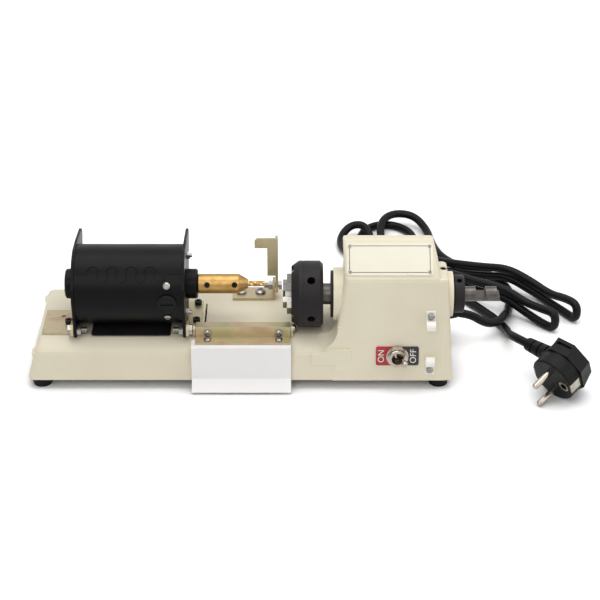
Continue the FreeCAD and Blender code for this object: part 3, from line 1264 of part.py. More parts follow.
def build_plug():
    """Angled mains plug with two round pins, side earth contacts and a socket for an earth pin."""
    at = (S.plug_x, S.plug_y, S.plug_z)
    lie = Rotation(Vector(0, 0, 1), S.plug_yaw.value) * Rotation(Vector(0, 1, 0), S.plug_dip.value)
    big = S.plug_r
    face, shoulder, back = 16, 4, -10
    profile = [(shoulder - 1, 0), (face, 0), (face, big - 1), (face - 1, big), (shoulder - 1, big)]
    body = turned("mains_plug", profile, at, lie)
    wide = big + 0.6
    corner = wide * 0.414
    rim = [(-corner, wide), (corner, wide), (wide, corner), (wide, -corner)]
    rim += [(-y, -z) for y, z in rim]
    rear = [(-12, 16.5), (4, 16.5), (15.5, 5), (15.5, -6), (7, -16), (-9, -16), (-15.5, -7), (-15.5, 7)]
    loft(body, "YZ_Plane", [(shoulder, rim), (back, rear)])
    grip = dict(Length=3, Width=13, Height=5)
    primitive(body, "SubtractiveBox", (back + 3.5, -8.5, 15.4), None, **grip)
    for y in (big - 2, -big - 1):
        primitive(body, "SubtractiveBox", (5.6, y, -4.1), None, Length=12.4, Width=3, Height=8.2)
    rod(body, (NECK_X, -14, 0), "-Y", 4.7, 26)
    for rib in range(4):
        low, high = 6.7 - 0.4 * rib, 6.4 - 0.4 * rib
        spot = (NECK_X, -14 - 6.6 * rib, 0)
        primitive(body, "AdditiveCone", spot, turn_z("-Y"), Radius1=low, Radius2=high, Height=5.2)
    drill(body, (NECK_X, -24, 0), "-Y", S.cord_r + 0.02, 20)
    for z in (-PIN_Z, PIN_Z):
        drill(body, (10, 0, z), "+X", 2.42, 10)
    drill(body, (face - 9, EARTH_Y, 0), "+X", 2.6, 12)
    keep("mains_plug", body)
    pins = new_body("plug_pins", at, lie)
    pins.AllowCompound = True
    for z in (-PIN_Z, PIN_Z):
        rod(pins, (10.1, 0, z), "+X", 2.4, 22.5)
        primitive(pins, "AdditiveSphere", (32.6, 0, z), None, Radius=2.4)
    for y in (big - 1.98, 0.58 - big):
        primitive(pins, "AdditiveBox", (5.7, y, -4), None, Length=10, Width=1.4, Height=8)
    rod(pins, (face + 0.02, EARTH_Y, 0), "+X", 4.3, 0.5)
    drill(pins, (face - 1, EARTH_Y, 0), "+X", 2.6, 4)
    keep("plug_pins", pins)


NECK_X = -3
PIN_Z = 9.5
EARTH_Y = 11.5


def finish():
    """Checks every object and writes each node."""
    doc.recompute()
    for obj in doc.Objects:
        if "Invalid" in obj.State or "Error" in obj.State:
            raise RuntimeError(f"{obj.Label}: {obj.State}")
    os.makedirs("parts", exist_ok=True)
    for label, obj in NODES.items():
        if obj.Shape.isNull() or not obj.Shape.isValid():
            raise RuntimeError(f"{label}: shape not valid")
        obj.Shape.exportStep(f"parts/{label}.step")
    print(len(NODES), "nodes")


def main():
    build_casting()
    build_underside()
    build_headstock_fittings()
    build_spindle()
    build_chuck()
    build_motor()
    build_rotor()
    build_brackets()
    build_gauge()
    build_guard()
    build_cord()
    finish()


main()
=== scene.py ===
# %% [markdown]
# # A key duplicating machine on a white bench
# The construction is already finished as a solid model: sixty named pieces on twelve bodies. This
# lesson gives them their looks. Paint, plating, rubber and plastic are node materials, and what a
# solid modeller leaves plain (screw threads, printed lines, lettering, the mains lead) is added here.

# %% Load the frame
import math

import bpy
from mathutils import Matrix, Vector


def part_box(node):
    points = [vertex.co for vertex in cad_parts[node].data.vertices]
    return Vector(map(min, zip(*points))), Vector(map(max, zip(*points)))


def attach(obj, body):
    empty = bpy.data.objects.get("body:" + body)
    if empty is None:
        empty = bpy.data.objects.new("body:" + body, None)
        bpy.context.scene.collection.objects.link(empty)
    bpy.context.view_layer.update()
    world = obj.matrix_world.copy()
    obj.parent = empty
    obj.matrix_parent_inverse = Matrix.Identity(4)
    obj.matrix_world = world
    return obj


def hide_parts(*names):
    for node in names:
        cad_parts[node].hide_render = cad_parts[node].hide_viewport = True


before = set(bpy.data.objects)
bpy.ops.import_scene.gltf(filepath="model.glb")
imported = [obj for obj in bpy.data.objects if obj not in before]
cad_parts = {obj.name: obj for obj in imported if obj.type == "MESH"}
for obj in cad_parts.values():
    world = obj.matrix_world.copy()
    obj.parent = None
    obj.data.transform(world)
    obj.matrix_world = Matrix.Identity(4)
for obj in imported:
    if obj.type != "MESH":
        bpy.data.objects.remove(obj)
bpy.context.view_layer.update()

MM = 0.001
scene = bpy.context.scene


# %% [markdown]
# ## Where the photographer stood
# The picture is taken from the front, a little right of the machine's middle and looking down by
# thirty degrees, with a long lens, so the sides of the base hardly converge. The place was worked out
# from the four corners of the base, so the camera is set with plain numbers and no shift.

# %% Camera
CAMERA_PLACE = (27.8, -1171.9, 729.9)
CAMERA_TILT = 60.0
LENS_MM = 106.74
SENSOR_MM = 36.0

camera_data = bpy.data.cameras.new("photo_camera")
camera_data.lens = LENS_MM
camera_data.sensor_width = SENSOR_MM
camera = bpy.data.objects.new("photo_camera", camera_data)
camera.location = Vector(CAMERA_PLACE) * MM
camera.rotation_euler = (math.radians(CAMERA_TILT), 0, 0)
scene.collection.objects.link(camera)
scene.camera = camera
print("camera at", [round(v, 3) for v in camera.location], "m, lens", LENS_MM, "mm")


# %% [markdown]
# ## The mains lead
# The lead leaves the right end of the base, lies in a loose hank of three bights behind the machine,
# with two folds at the right, and ends in an angled plug at the front. A smooth NURBS line with a
# given list of control points behaves like a real lead: it rounds every turn by itself. The
# points are the same as those of the solid, in millimetres.

# %% The lead's route
CORD_RADIUS = 3.4
CORD_EXIT = (142.6, 30.0, 25.0)
LOW = CORD_RADIUS

exit_x, exit_y, exit_z = CORD_EXIT
leaving = [(exit_x - 2, exit_y, exit_z), (exit_x + 16, exit_y, exit_z)]
leaving += [(exit_x + 31, exit_y - 1, exit_z - 10)]
leaving += [(185, 38, 11.3), (191, 49.5, 11.4), (195, 63.5, 5)]
outer_run = [(198, 79.5, LOW), (201, 97.5, LOW), (196, 117.5, LOW), (181, 134.5, LOW)]
outer_run += [(161, 143.5, LOW), (147, 161.5, LOW), (141, 185.5, LOW)]
first_bight = [(139, 207.5, 4.4), (128, 224.5, 10.4), (109, 226.5, 11.2)]
first_bight += [(98, 210.5, 10.4), (98, 190.5, LOW)]
first_run = [(100, 170.5, LOW), (112, 152.5, LOW), (134, 141.5, LOW), (159, 131.5, LOW)]
first_run += [(181, 121.5, 6.5), (199, 110, 12.4), (217, 97.5, 6.5)]
first_run += [(231, 82.5, LOW), (241, 67.5, LOW), (249, 54.5, LOW)]
first_back = [(249, 54.5, 17.5), (241, 67.7, 16), (231, 82.7, 10.9), (217, 97.7, 14.7)]
first_back += [(199, 110.2, 19.7), (181, 121.7, 14.7), (161, 132, 11.7), (144, 145.5, 7.2)]
second_bight = [(132, 163.5, LOW), (127.5, 185.5, LOW), (124, 206.5, LOW)]
second_bight += [(110, 219.5, LOW), (93, 218.5, LOW), (82, 205.5, LOW)]
second_bight += [(79, 185.5, LOW), (81, 165.5, LOW), (90, 147.5, LOW)]
second_run = [(106, 132.5, LOW), (126, 119.5, 4.6), (148, 106, 11.2), (171, 89.5, 10.8)]
second_run += [(193, 73, 14.1), (208, 61.5, 7.3), (220, 50.5, LOW), (230, 40.5, LOW)]
second_back = [(230, 40.5, 17.5), (220, 50.7, 16), (208, 61.7, 15.7), (193, 73.2, 21.5)]
second_back += [(171, 89.7, 18.8), (148, 106.2, 18.5), (126, 119.7, 12.6)]
second_back += [(106, 132.7, 10.8), (88, 145.5, 10.7)]
third_bight = [(72, 159.5, 8.4), (63, 176.5, LOW), (63, 193.5, 5.4), (72, 205.5, 10.4)]
third_bight += [(84, 203.5, 11.7), (89.5, 189.5, 5.5), (89.5, 172.5, LOW)]
third_bight += [(97, 153.5, LOW), (113, 140.5, LOW)]
to_plug = [(135, 126.5, LOW), (150, 108.5, LOW), (161.5, 90, LOW), (174, 72, LOW)]
to_plug += [(186, 53.5, LOW), (192, 35.5, 4.5), (190.5, 18.5, 12), (190.5, 2.8, 20.4)]
to_plug += [(197.07, -10.99, 23.85), (210.63, -25.69, 23.85)]
route = leaving + outer_run + first_bight + first_run + first_back + second_bight
route += second_run + second_back + third_bight + to_plug
print("lead: route of", len(route), "points")


# %% [markdown]
# ### From route to lead
# A curve with a round bevel is the plainest way to a cable, because it stays editable. Each point's
# radius scales the bevel, so the bevel is one metre deep and the points carry the real radius. That
# way Blender's box round the curve is right too.

# %% The lead itself
LEAD_ORDER = 3
LEAD_STEPS = 8
LEAD_ROUNDNESS = 5
BEVEL_UNIT = 1.0

lead_curve = bpy.data.curves.new("mains_lead", "CURVE")
lead_curve.dimensions = "3D"
lead_curve.resolution_u = LEAD_STEPS
lead_curve.bevel_depth = BEVEL_UNIT
lead_curve.bevel_resolution = LEAD_ROUNDNESS
lead_curve.use_fill_caps = True
spline = lead_curve.splines.new("NURBS")
spline.points.add(len(route) - 1)
for point, place in zip(spline.points, route):
    point.co = (place[0] * MM, place[1] * MM, place[2] * MM, 1.0)
    point.radius = CORD_RADIUS * MM
spline.order_u = LEAD_ORDER
spline.use_endpoint_u = True
mains_lead = bpy.data.objects.new("mains_lead", lead_curve)
scene.collection.objects.link(mains_lead)
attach(mains_lead, "base")
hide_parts("power_cord")
print("lead:", round(spline.calc_length(), 3), "m long")


# %% [markdown]
# ## Helpers for node trees
# Every finish below is a small node tree. A few helpers keep the code short: one adds a node and sets
# it up, one starts a node group with named sockets, and one places a group in a material. Colours are
# written as they look on a screen, 0 to 255, and turned into the linear values that the renderer uses.

# %% Colour and node helpers
def screen(red, green, blue):
    """A linear colour from the 0 to 255 values seen on a screen, by the sRGB curve."""
    def linear(value):
        value /= 255
        return value / 12.92 if value <= 0.04045 else ((value + 0.055) / 1.055) ** 2.4
    return (linear(red), linear(green), linear(blue), 1.0)


def add_node(tree, kind, inputs=None, **settings):
    """A new shader node with its properties set, and its inputs set or linked."""
    node = tree.nodes.new("ShaderNode" + kind)
    for name, value in settings.items():
        setattr(node, name, value)
    for name, value in (inputs or {}).items():
        if isinstance(value, bpy.types.NodeSocket):
            tree.links.new(value, node.inputs[name])
        else:
            node.inputs[name].default_value = value
    return node


def start_group(name, inputs, outputs):
    """A shader node group with its sockets, and its input and output nodes."""
    group = bpy.data.node_groups.new(name, "ShaderNodeTree")
    for label, kind, value in inputs:
        socket = group.interface.new_socket(label, in_out="INPUT", socket_type="NodeSocket" + kind)
        socket.default_value = value
    for label, kind in outputs:
        group.interface.new_socket(label, in_out="OUTPUT", socket_type="NodeSocket" + kind)
    return group, group.nodes.new("NodeGroupInput"), group.nodes.new("NodeGroupOutput")


def use_group(tree, group, **inputs):
    """Places a group in a material, with its own values."""
    node = tree.nodes.new("ShaderNodeGroup")
    node.node_tree = group
    for label, value in inputs.items():
        node.inputs[label.replace("_", " ")].default_value = value
    return node


print("helpers: colours, nodes and groups")


# %% [markdown]
# ## Effects that several finishes share
# Real surfaces are never one colour: paint has an orange-peel skin and faint blotches, plated steel
# drifts in hue, turned metal shows the tool's rings, and edges rub bright. Each of these is one node
# group, placed in as many materials as need it. They all read Object coordinates, so nothing slides.
# Blender's noise stays mostly between 0.3 and 0.7, so that part of it is stretched to the full range.

# %% Helpers for effects
NOISE_LOW = 0.3
NOISE_HIGH = 0.7


def object_noise(group, given, **settings):
    """Noise over the piece, at the scale that the group is given."""
    spot = add_node(group, "TexCoord").outputs["Object"]
    inputs = {"Vector": spot, "Scale": given.outputs["Scale"]}
    inputs.update(settings)
    return add_node(group, "TexNoise", inputs).outputs["Fac"]


def stretched(group, value, low, high, **ends):
    """A value with the range from low to high stretched to 0 and 1, or to other ends."""
    inputs = {"Value": value, "From Min": low, "From Max": high}
    for label, end in ends.items():
        inputs[label.replace("_", " ")] = end
    return add_node(group, "MapRange", inputs).outputs["Result"]


def product(tree, first, second):
    """Two values multiplied."""
    node = add_node(tree, "Math", {0: first, 1: second}, operation="MULTIPLY")
    return node.outputs["Value"]


print("helpers: noise and ranges")


# %% [markdown]
# ### Blotches
# Old paint and metal drift a little in colour and gloss. Two noises could do that, one for each. But a
# patch that has gone dull also looks paler, so one noise drives both.

# %% Blotches: colour and roughness that drift over the surface
def blotch_group():
    inputs = [("Light", "Color", (1, 1, 1, 1)), ("Dark", "Color", (0.5, 0.5, 0.5, 1))]
    inputs += [("Scale", "Float", 40.0), ("Rough Low", "Float", 0.3), ("Rough High", "Float", 0.5)]
    outputs = [("Colour", "Color"), ("Roughness", "Float")]
    group, given, out = start_group("blotches", inputs, outputs)
    noise = object_noise(group, given, Detail=5.0)
    mixed = add_node(group, "Mix", data_type="RGBA")
    group.links.new(stretched(group, noise, NOISE_LOW, NOISE_HIGH), mixed.inputs["Factor"])
    group.links.new(given.outputs["Dark"], mixed.inputs["A"])
    group.links.new(given.outputs["Light"], mixed.inputs["B"])
    rough = stretched(group, noise, NOISE_LOW, NOISE_HIGH, To_Min=given.outputs["Rough Low"],
                      To_Max=given.outputs["Rough High"])
    group.links.new(mixed.outputs["Result"], out.inputs["Colour"])
    group.links.new(rough, out.inputs["Roughness"])
    return group


BLOTCHES = blotch_group()
print("effect:", BLOTCHES.name)


# %% [markdown]
# ### Skin
# Sprayed paint dries like orange peel, and a mould leaves a fine grain on rubber and plastic. Modelled
# as real bumps, that would take millions of faces, so a small noise serves as the height for a Bump
# node instead.

# %% Skin: the small bumps of paint, moulded plastic or rubber
def skin_group():
    group, given, out = start_group("skin", [("Scale", "Float", 900.0)], [("Height", "Float")])
    group.links.new(object_noise(group, given, Detail=2.0), out.inputs["Height"])
    return group


SKIN = skin_group()
print("effect:", SKIN.name)


# %% [markdown]
# ### Tool marks
# A lathe leaves rings round the axis that it turns. A wave texture in bands gives them at any size,
# with no image to load. The spindle, the chuck, the cutter and the pivot bolts lie along X, so bands
# across X suit them all. The screws that point elsewhere are too small for the difference to show.

# %% Tool marks: fine rings round the X axis, as a lathe leaves them
def tool_mark_group():
    inputs = [("Scale", "Float", 600.0), ("Rough Low", "Float", 0.2), ("Rough High", "Float", 0.35)]
    outputs = [("Height", "Float"), ("Roughness", "Float")]
    group, given, out = start_group("tool marks", inputs, outputs)
    spot = add_node(group, "TexCoord").outputs["Object"]
    bands = {"Vector": spot, "Scale": given.outputs["Scale"], "Distortion": 1.2, "Detail": 2.0}
    rings = add_node(group, "TexWave", bands, wave_type="BANDS", bands_direction="X").outputs["Fac"]
    rough = stretched(group, rings, 0.0, 1.0, To_Min=given.outputs["Rough Low"],
                      To_Max=given.outputs["Rough High"])
    group.links.new(rings, out.inputs["Height"])
    group.links.new(rough, out.inputs["Roughness"])
    return group


TOOL_MARKS = tool_mark_group()
print("effect:", TOOL_MARKS.name)


# %% [markdown]
# ### Worn and lit edges
# Hands and rags polish the corners first, and rounded corners catch the light. A mask for that could
# be painted on each piece by hand. The Bevel node finds corners by itself: it gives the normal that a
# rounded corner would have, which leaves the true normal only near an edge. Noise breaks the line up,
# as wear is patchy. The paler edge colour is a painted highlight on the cream casting and the clear
# sheet, and wear on the black oxide and the nameplate.

# %% Worn and lit edges: a mask that is white where the surface turns a corner
EDGE_STARTS = 0.98
EDGE_FULL = 0.75
PATCH_LOW = 0.35
PATCH_HIGH = 0.65
BEVEL_SAMPLES = 6


def worn_and_lit_edge_group():
    inputs = [("Width", "Float", 0.4 * MM), ("Amount", "Float", 0.6), ("Scale", "Float", 250.0)]
    group, given, out = start_group("worn and lit edges", inputs, [("Mask", "Float")])
    rounded = add_node(group, "Bevel", {"Radius": given.outputs["Width"]}, samples=BEVEL_SAMPLES)
    flat = add_node(group, "NewGeometry")
    normals = {0: rounded.outputs["Normal"], 1: flat.outputs["Normal"]}
    along = add_node(group, "VectorMath", normals, operation="DOT_PRODUCT").outputs["Value"]
    # The mask marks edges, which get either wear or a painted highlight, depending on the finish.
    edge = stretched(group, along, EDGE_STARTS, EDGE_FULL)
    patchy = stretched(group, object_noise(group, given, Detail=3.0), PATCH_LOW, PATCH_HIGH)
    worn_and_lit_mask = product(group, edge, patchy)
    group.links.new(product(group, worn_and_lit_mask, given.outputs["Amount"]), out.inputs["Mask"])
    return group


WORN_AND_LIT_EDGES = worn_and_lit_edge_group()
print("effect:", WORN_AND_LIT_EDGES.name)


# %% [markdown]
# ### Plating tint
# Passivated zinc shows a thin film's colours: straw, with hints of green and rose. Two mixed colours
# would only go back and forth, so a colour ramp with five stops on a slow noise gives the drift. The
# tints stay close to each other, so that it doesn't look painted.

# %% Plating tint: the drifting straw, green and rose of passivated zinc
TINTS = [(0.28, screen(180, 163, 132)), (0.44, screen(172, 167, 131)), (0.56, screen(188, 172, 142))]
TINTS += [(0.68, screen(178, 155, 126)), (0.82, screen(166, 152, 128))]


def plating_group():
    inputs = [("Scale", "Float", 55.0), ("Rough Low", "Float", 0.28), ("Rough High", "Float", 0.45)]
    outputs = [("Colour", "Color"), ("Roughness", "Float")]
    group, given, out = start_group("plating tint", inputs, outputs)
    noise = object_noise(group, given, Detail=4.0, Distortion=0.8)
    ramp = add_node(group, "ValToRGB", {"Fac": noise})
    stops = ramp.color_ramp.elements
    while len(stops) < len(TINTS):
        stops.new(0.5)
    for stop, (place, tint) in zip(stops, TINTS):
        stop.position = place
        stop.color = tint
    rough = stretched(group, noise, NOISE_LOW, NOISE_HIGH, To_Min=given.outputs["Rough Low"],
                      To_Max=given.outputs["Rough High"])
    group.links.new(ramp.outputs["Color"], out.inputs["Colour"])
    group.links.new(rough, out.inputs["Roughness"])
    return group


PLATING_TINT = plating_group()
print("effect:", PLATING_TINT.name)


# %% [markdown]
# ## Finishes
# One material for each finish of the machine. A helper starts each with a Principled shader and its
# plain numbers, then effects are wired to colour, roughness and bump. Numbers that are the same all
# over a surface stay on the shader itself.

# %% Helpers for finishes
def new_finish(name, **plain):
    """A material whose shader has these plain values; returns it, its tree and its shader."""
    material = bpy.data.materials.new(name)
    material.use_nodes = True
    tree = material.node_tree
    shader = tree.nodes["Principled BSDF"]
    for label, value in plain.items():
        shader.inputs[label.replace("_", " ")].default_value = value
    return material, tree, shader


def add_blotches(tree, shader, light, dark, scale, low, high):
    """Colour and roughness from the blotches; returns the colour's output."""
    node = use_group(tree, BLOTCHES, Light=light, Dark=dark, Scale=scale, Rough_Low=low, Rough_High=high)
    tree.links.new(node.outputs["Colour"], shader.inputs["Base Color"])
    tree.links.new(node.outputs["Roughness"], shader.inputs["Roughness"])
    return node.outputs["Colour"]


def add_bump(tree, shader, height, depth_mm, strength):
    """Bump on the shader's normal from a height output."""
    bump = add_node(tree, "Bump", {"Strength": strength, "Distance": depth_mm * MM, "Height": height})
    tree.links.new(bump.outputs["Normal"], shader.inputs["Normal"])


def add_skin(tree, shader, scale, depth_mm, strength):
    """The small bumps of paint or plastic."""
    add_bump(tree, shader, use_group(tree, SKIN, Scale=scale).outputs["Height"], depth_mm, strength)


def add_worn_and_lit_edges(tree, shader, colour, worn_and_lit_colour, width_mm, amount):
    """Mixes an edge colour, for wear and for painted highlights, into the edges of what feeds the base
    colour.
    """
    mask = use_group(tree, WORN_AND_LIT_EDGES, Width=width_mm * MM, Amount=amount).outputs["Mask"]
    mixed = add_node(tree, "Mix", data_type="RGBA")
    mixed.inputs["B"].default_value = worn_and_lit_colour
    tree.links.new(mask, mixed.inputs["Factor"])
    tree.links.new(colour, mixed.inputs["A"])
    tree.links.new(mixed.outputs["Result"], shader.inputs["Base Color"])


FINISHES = {}
print("helpers: finishes")


# %% [markdown]
# ### Cream enamel
# The casting is sprayed with thick cream enamel, glossy but not wet. One smooth, glossy shader would
# look like plastic. So a weak coat lies over a middling rough paint, with a broad orange-peel skin,
# and its corners are made slightly paler as a painted highlight where the rounded paint catches the
# light.

# %% Cream enamel of the casting
def cream_enamel():
    light, dark = screen(228, 220, 196), screen(221, 212, 187)
    material, tree, shader = new_finish("cream_enamel", IOR=1.5, Coat_Weight=0.15, Coat_Roughness=0.2)
    colour = add_blotches(tree, shader, light, dark, scale=22, low=0.36, high=0.48)
    # The paler edge colour is a painted highlight where the rounded enamel catches the light.
    add_worn_and_lit_edges(tree, shader, colour, screen(232, 225, 203), width_mm=0.6, amount=0.15)
    add_skin(tree, shader, scale=420, depth_mm=0.10, strength=0.35)
    return material


FINISHES["casting_enamel"] = cream_enamel()
print("finish: cream enamel")


# %% [markdown]
# ### Motor black
# The motor's shell and plates wear a thin satin black. Darker paint alone doesn't make it look black,
# because it reflects a white room. So its specular level is low too, and the shell stays black apart
# from a faint sheen.

# %% Satin black paint of the motor
def motor_black():
    light, dark = screen(10, 10, 11), screen(6, 6, 7)
    material, tree, shader = new_finish("motor_black", IOR=1.5, Specular_IOR_Level=0.11)
    colour = add_blotches(tree, shader, light, dark, scale=60, low=0.32, high=0.42)
    add_worn_and_lit_edges(tree, shader, colour, screen(34, 33, 34), width_mm=0.3, amount=0.3)
    add_skin(tree, shader, scale=1500, depth_mm=0.04, strength=0.4)
    return material


FINISHES["motor_paint"] = motor_black()
print("finish: motor black")


# %% [markdown]
# ### Black oxide
# The chuck, the collar and the socket screws are steel, blackened in a hot bath. Black paint would be
# the simple way, but this film is thin: the lathe's rings show through it and corners turn brown-grey.
# So the shader is dark with a little metal in it, and tool marks make its bump.

# %% Chemically blackened steel of the chuck, collar and socket screws
def black_oxide():
    light, dark = screen(30, 27, 27), screen(22, 20, 20)
    material, tree, shader = new_finish("black_oxide", Metallic=0.2, Specular_IOR_Level=0.25)
    colour = add_blotches(tree, shader, light, dark, scale=120, low=0.45, high=0.6)
    add_worn_and_lit_edges(tree, shader, colour, screen(54, 50, 48), width_mm=0.2, amount=0.3)
    rings = use_group(tree, TOOL_MARKS, Scale=520).outputs["Height"]
    add_bump(tree, shader, rings, depth_mm=0.01, strength=0.35)
    return material


FINISHES["black_oxide"] = black_oxide()
print("finish: black oxide")


# %% [markdown]
# ### Zinc plate and cover steel
# The brackets, the gauge and the guard's angle are pressed steel with yellow-passivated zinc. As a full
# metal it would mirror the white room and lose its straw colour, so it is partly metal and partly a
# dull film. The cover under the base is shown as plain sheet, for which faint blotches and a fine skin
# will do.

# %% Yellow-passivated zinc of the pressed brackets, and the plain steel cover
def zinc_plate():
    material, tree, shader = new_finish("zinc_plate", Metallic=0.65)
    tint = use_group(tree, PLATING_TINT, Scale=38)
    tree.links.new(tint.outputs["Roughness"], shader.inputs["Roughness"])
    straw = tint.outputs["Colour"]
    add_worn_and_lit_edges(tree, shader, straw, screen(206, 194, 164), width_mm=0.3, amount=0.4)
    add_skin(tree, shader, scale=2200, depth_mm=0.02, strength=0.3)
    return material


def cover_steel():
    light, dark = screen(176, 178, 180), screen(150, 152, 156)
    material, tree, shader = new_finish("cover_steel", Metallic=0.9)
    add_blotches(tree, shader, light, dark, scale=150, low=0.35, high=0.55)
    add_skin(tree, shader, scale=700, depth_mm=0.03, strength=0.3)
    return material


FINISHES["zinc_plate"] = zinc_plate()
FINISHES["cover_steel"] = cover_steel()
print("finish: zinc plate, cover steel")


# %% [markdown]
# ### Turned metals
# Screws, jaws, spindle, cutter holder, end mill and bush are bright metal with fine tool marks. Each
# could have a node tree built for it alone. But they differ only in colour, in how fine the marks are
# and in gloss, so one function makes them all. The motor's copper windings look much the same, with
# very fine marks for the turns of wire.

# %% Turned metals: steel, brass, coated cutter, bronze, windings
METAL_BLOTCH = 180


def turned_metal(name, light, dark, rings, low, high):
    """A metal with faint blotches of colour, and rings from the lathe in its gloss."""
    material, tree, shader = new_finish(name, Metallic=1.0)
    add_blotches(tree, shader, light, dark, scale=METAL_BLOTCH, low=low, high=high)
    marks = use_group(tree, TOOL_MARKS, Scale=rings, Rough_Low=low, Rough_High=high)
    tree.links.new(marks.outputs["Roughness"], shader.inputs["Roughness"])
    add_bump(tree, shader, marks.outputs["Height"], depth_mm=0.008, strength=0.4)
    return material


FINISHES["bright_steel"] = turned_metal("bright_steel", screen(158, 155, 150), screen(124, 121, 117),
                                        rings=900, low=0.18, high=0.32)
# The spindle's darker steel is a painted dark reflection, as polished steel mirrors darker surroundings.
DARK_REFLECTION_STEEL = turned_metal("dark_reflection_steel", screen(98, 93, 90), screen(76, 72, 69),
                            rings=1100, low=0.26, high=0.4)
FINISHES["cutter_brass"] = turned_metal("cutter_brass", screen(180, 146, 92), screen(150, 117, 66),
                                        rings=520, low=0.34, high=0.48)
FINISHES["coated_cutter"] = turned_metal("coated_cutter", screen(186, 154, 104), screen(148, 118, 72),
                                         rings=1400, low=0.16, high=0.28)
FINISHES["bronze"] = turned_metal("bronze", screen(186, 140, 88), screen(160, 114, 70),
                                  rings=700, low=0.28, high=0.42)
FINISHES["winding"] = turned_metal("winding", screen(176, 96, 52), screen(140, 70, 38),
                                   rings=1800, low=0.3, high=0.45)
print("finish: bright steel, ground steel, cutter brass, coated cutter, bronze, winding")


# %% [markdown]
# ### Nickel
# The plug's pins and the switch are nickel plated: bright and slightly warm. A perfect mirror is easy
# to make, but it shows nothing of its own. So the gloss drifts a little, and a very faint skin breaks
# the reflections up.

# %% Nickel of the plug pins and the switch
def nickel():
    light, dark = screen(180, 172, 160), screen(152, 144, 132)
    material, tree, shader = new_finish("nickel", Metallic=1.0)
    add_blotches(tree, shader, light, dark, scale=260, low=0.12, high=0.22)
    add_skin(tree, shader, scale=1800, depth_mm=0.01, strength=0.2)
    return material


FINISHES["nickel"] = nickel()
print("finish: nickel")


# %% [markdown]
# ### Black mouldings
# Feet, lead, plug and the motor's magnets are black or nearly so, and differ in gloss and grain: rubber
# is dull, the lead's sheath smoother, the plug a fine-grained plastic, ferrite dark grey and dull. One
# function makes them all, as it did for the metals.

# %% Black rubber, cord rubber, black plastic and ferrite
MOULDED_BLOTCH = 90


def black_moulded(name, light, dark, low, high, grain, depth_mm):
    """A black moulded surface: rubber or plastic with a fine grain."""
    material, tree, shader = new_finish(name, IOR=1.5, Specular_IOR_Level=0.15)
    add_blotches(tree, shader, light, dark, scale=MOULDED_BLOTCH, low=low, high=high)
    add_skin(tree, shader, scale=grain, depth_mm=depth_mm, strength=0.5)
    return material


FINISHES["black_rubber"] = black_moulded("black_rubber", screen(30, 27, 27), screen(22, 20, 20),
                                         low=0.55, high=0.72, grain=1300, depth_mm=0.06)
FINISHES["cord_rubber"] = black_moulded("cord_rubber", screen(14, 13, 16), screen(9, 9, 11),
                                        low=0.36, high=0.48, grain=900, depth_mm=0.03)
FINISHES["black_plastic"] = black_moulded("black_plastic", screen(15, 15, 17), screen(10, 10, 12),
                                          low=0.38, high=0.52, grain=1700, depth_mm=0.05)
FINISHES["ferrite"] = black_moulded("ferrite", screen(66, 64, 66), screen(50, 48, 50),
                                    low=0.6, high=0.8, grain=1100, depth_mm=0.08)
print("finish: black rubber, cord rubber, black plastic, ferrite")


# %% [markdown]
# ### White nylon
# The tool clips are white nylon, which lets a little light in. A plain white shader would do from far
# away, but it looks like paint. A weak subsurface gives the softer look of nylon.

# %% White nylon of the tool clips
def white_nylon():
    light, dark = screen(247, 245, 238), screen(238, 235, 226)
    material, tree, shader = new_finish("white_nylon", IOR=1.53, Subsurface_Weight=0.12,
                                        Subsurface_Scale=0.0015)
    add_blotches(tree, shader, light, dark, scale=120, low=0.32, high=0.42)
    add_skin(tree, shader, scale=900, depth_mm=0.03, strength=0.3)
    return material


FINISHES["white_nylon"] = white_nylon()
print("finish: white nylon")


# %% [markdown]
# ### Painted plate
# The nameplate is thin aluminium with a pale, even coat. Bare aluminium would mirror the room and hide
# the plate's own colour, so the shader is nearly all paint. Its edge is cut after painting, so only the
# rubbed edge is grey metal.

# %% Painted plate: a pale, faintly mottled coat on aluminium
def painted_plate():
    light, dark = screen(234, 228, 211), screen(230, 224, 206)
    material, tree, shader = new_finish("painted_plate", IOR=1.5, Metallic=0.1)
    colour = add_blotches(tree, shader, light, dark, scale=30, low=0.26, high=0.34)
    add_worn_and_lit_edges(tree, shader, colour, screen(190, 188, 182), width_mm=0.25, amount=0.7)
    add_skin(tree, shader, scale=1500, depth_mm=0.02, strength=0.3)
    return material


FINISHES["plate_aluminium"] = painted_plate()
print("finish: painted plate")


# %% [markdown]
# ### Switch print
# The switch's plate is red on one side of the lever and black on the other. It could be split into two
# pieces, but the real one is a single plate. The two inks meet at a sharp line across its middle, so a
# plain comparison of the X coordinate with that middle chooses between them.

# %% Printed switch plate: red on the left of the lever, black on its right
INK_GLOSS = {"Scale": 90, "Rough_Low": 0.3, "Rough_High": 0.42}


def switch_print(middle_x):
    material, tree, shader = new_finish("switch_print", IOR=1.5)
    spot = add_node(tree, "TexCoord").outputs["Object"]
    across = add_node(tree, "SeparateXYZ", {"Vector": spot}).outputs["X"]
    right = add_node(tree, "Math", {0: across, 1: middle_x}, operation="GREATER_THAN")
    red = use_group(tree, BLOTCHES, Light=screen(176, 32, 40), Dark=screen(160, 26, 34), **INK_GLOSS)
    black = use_group(tree, BLOTCHES, Light=screen(34, 32, 33), Dark=screen(26, 25, 26), **INK_GLOSS)
    mixed = add_node(tree, "Mix", data_type="RGBA")
    tree.links.new(right.outputs["Value"], mixed.inputs["Factor"])
    tree.links.new(red.outputs["Colour"], mixed.inputs["A"])
    tree.links.new(black.outputs["Colour"], mixed.inputs["B"])
    tree.links.new(mixed.outputs["Result"], shader.inputs["Base Color"])
    tree.links.new(red.outputs["Roughness"], shader.inputs["Roughness"])
    add_skin(tree, shader, scale=1800, depth_mm=0.02, strength=0.3)
    return material


switch_low, switch_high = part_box("switch_plate")
FINISHES["switch_label"] = switch_print((switch_low[0] + switch_high[0]) / 2)
print("finish: switch print")
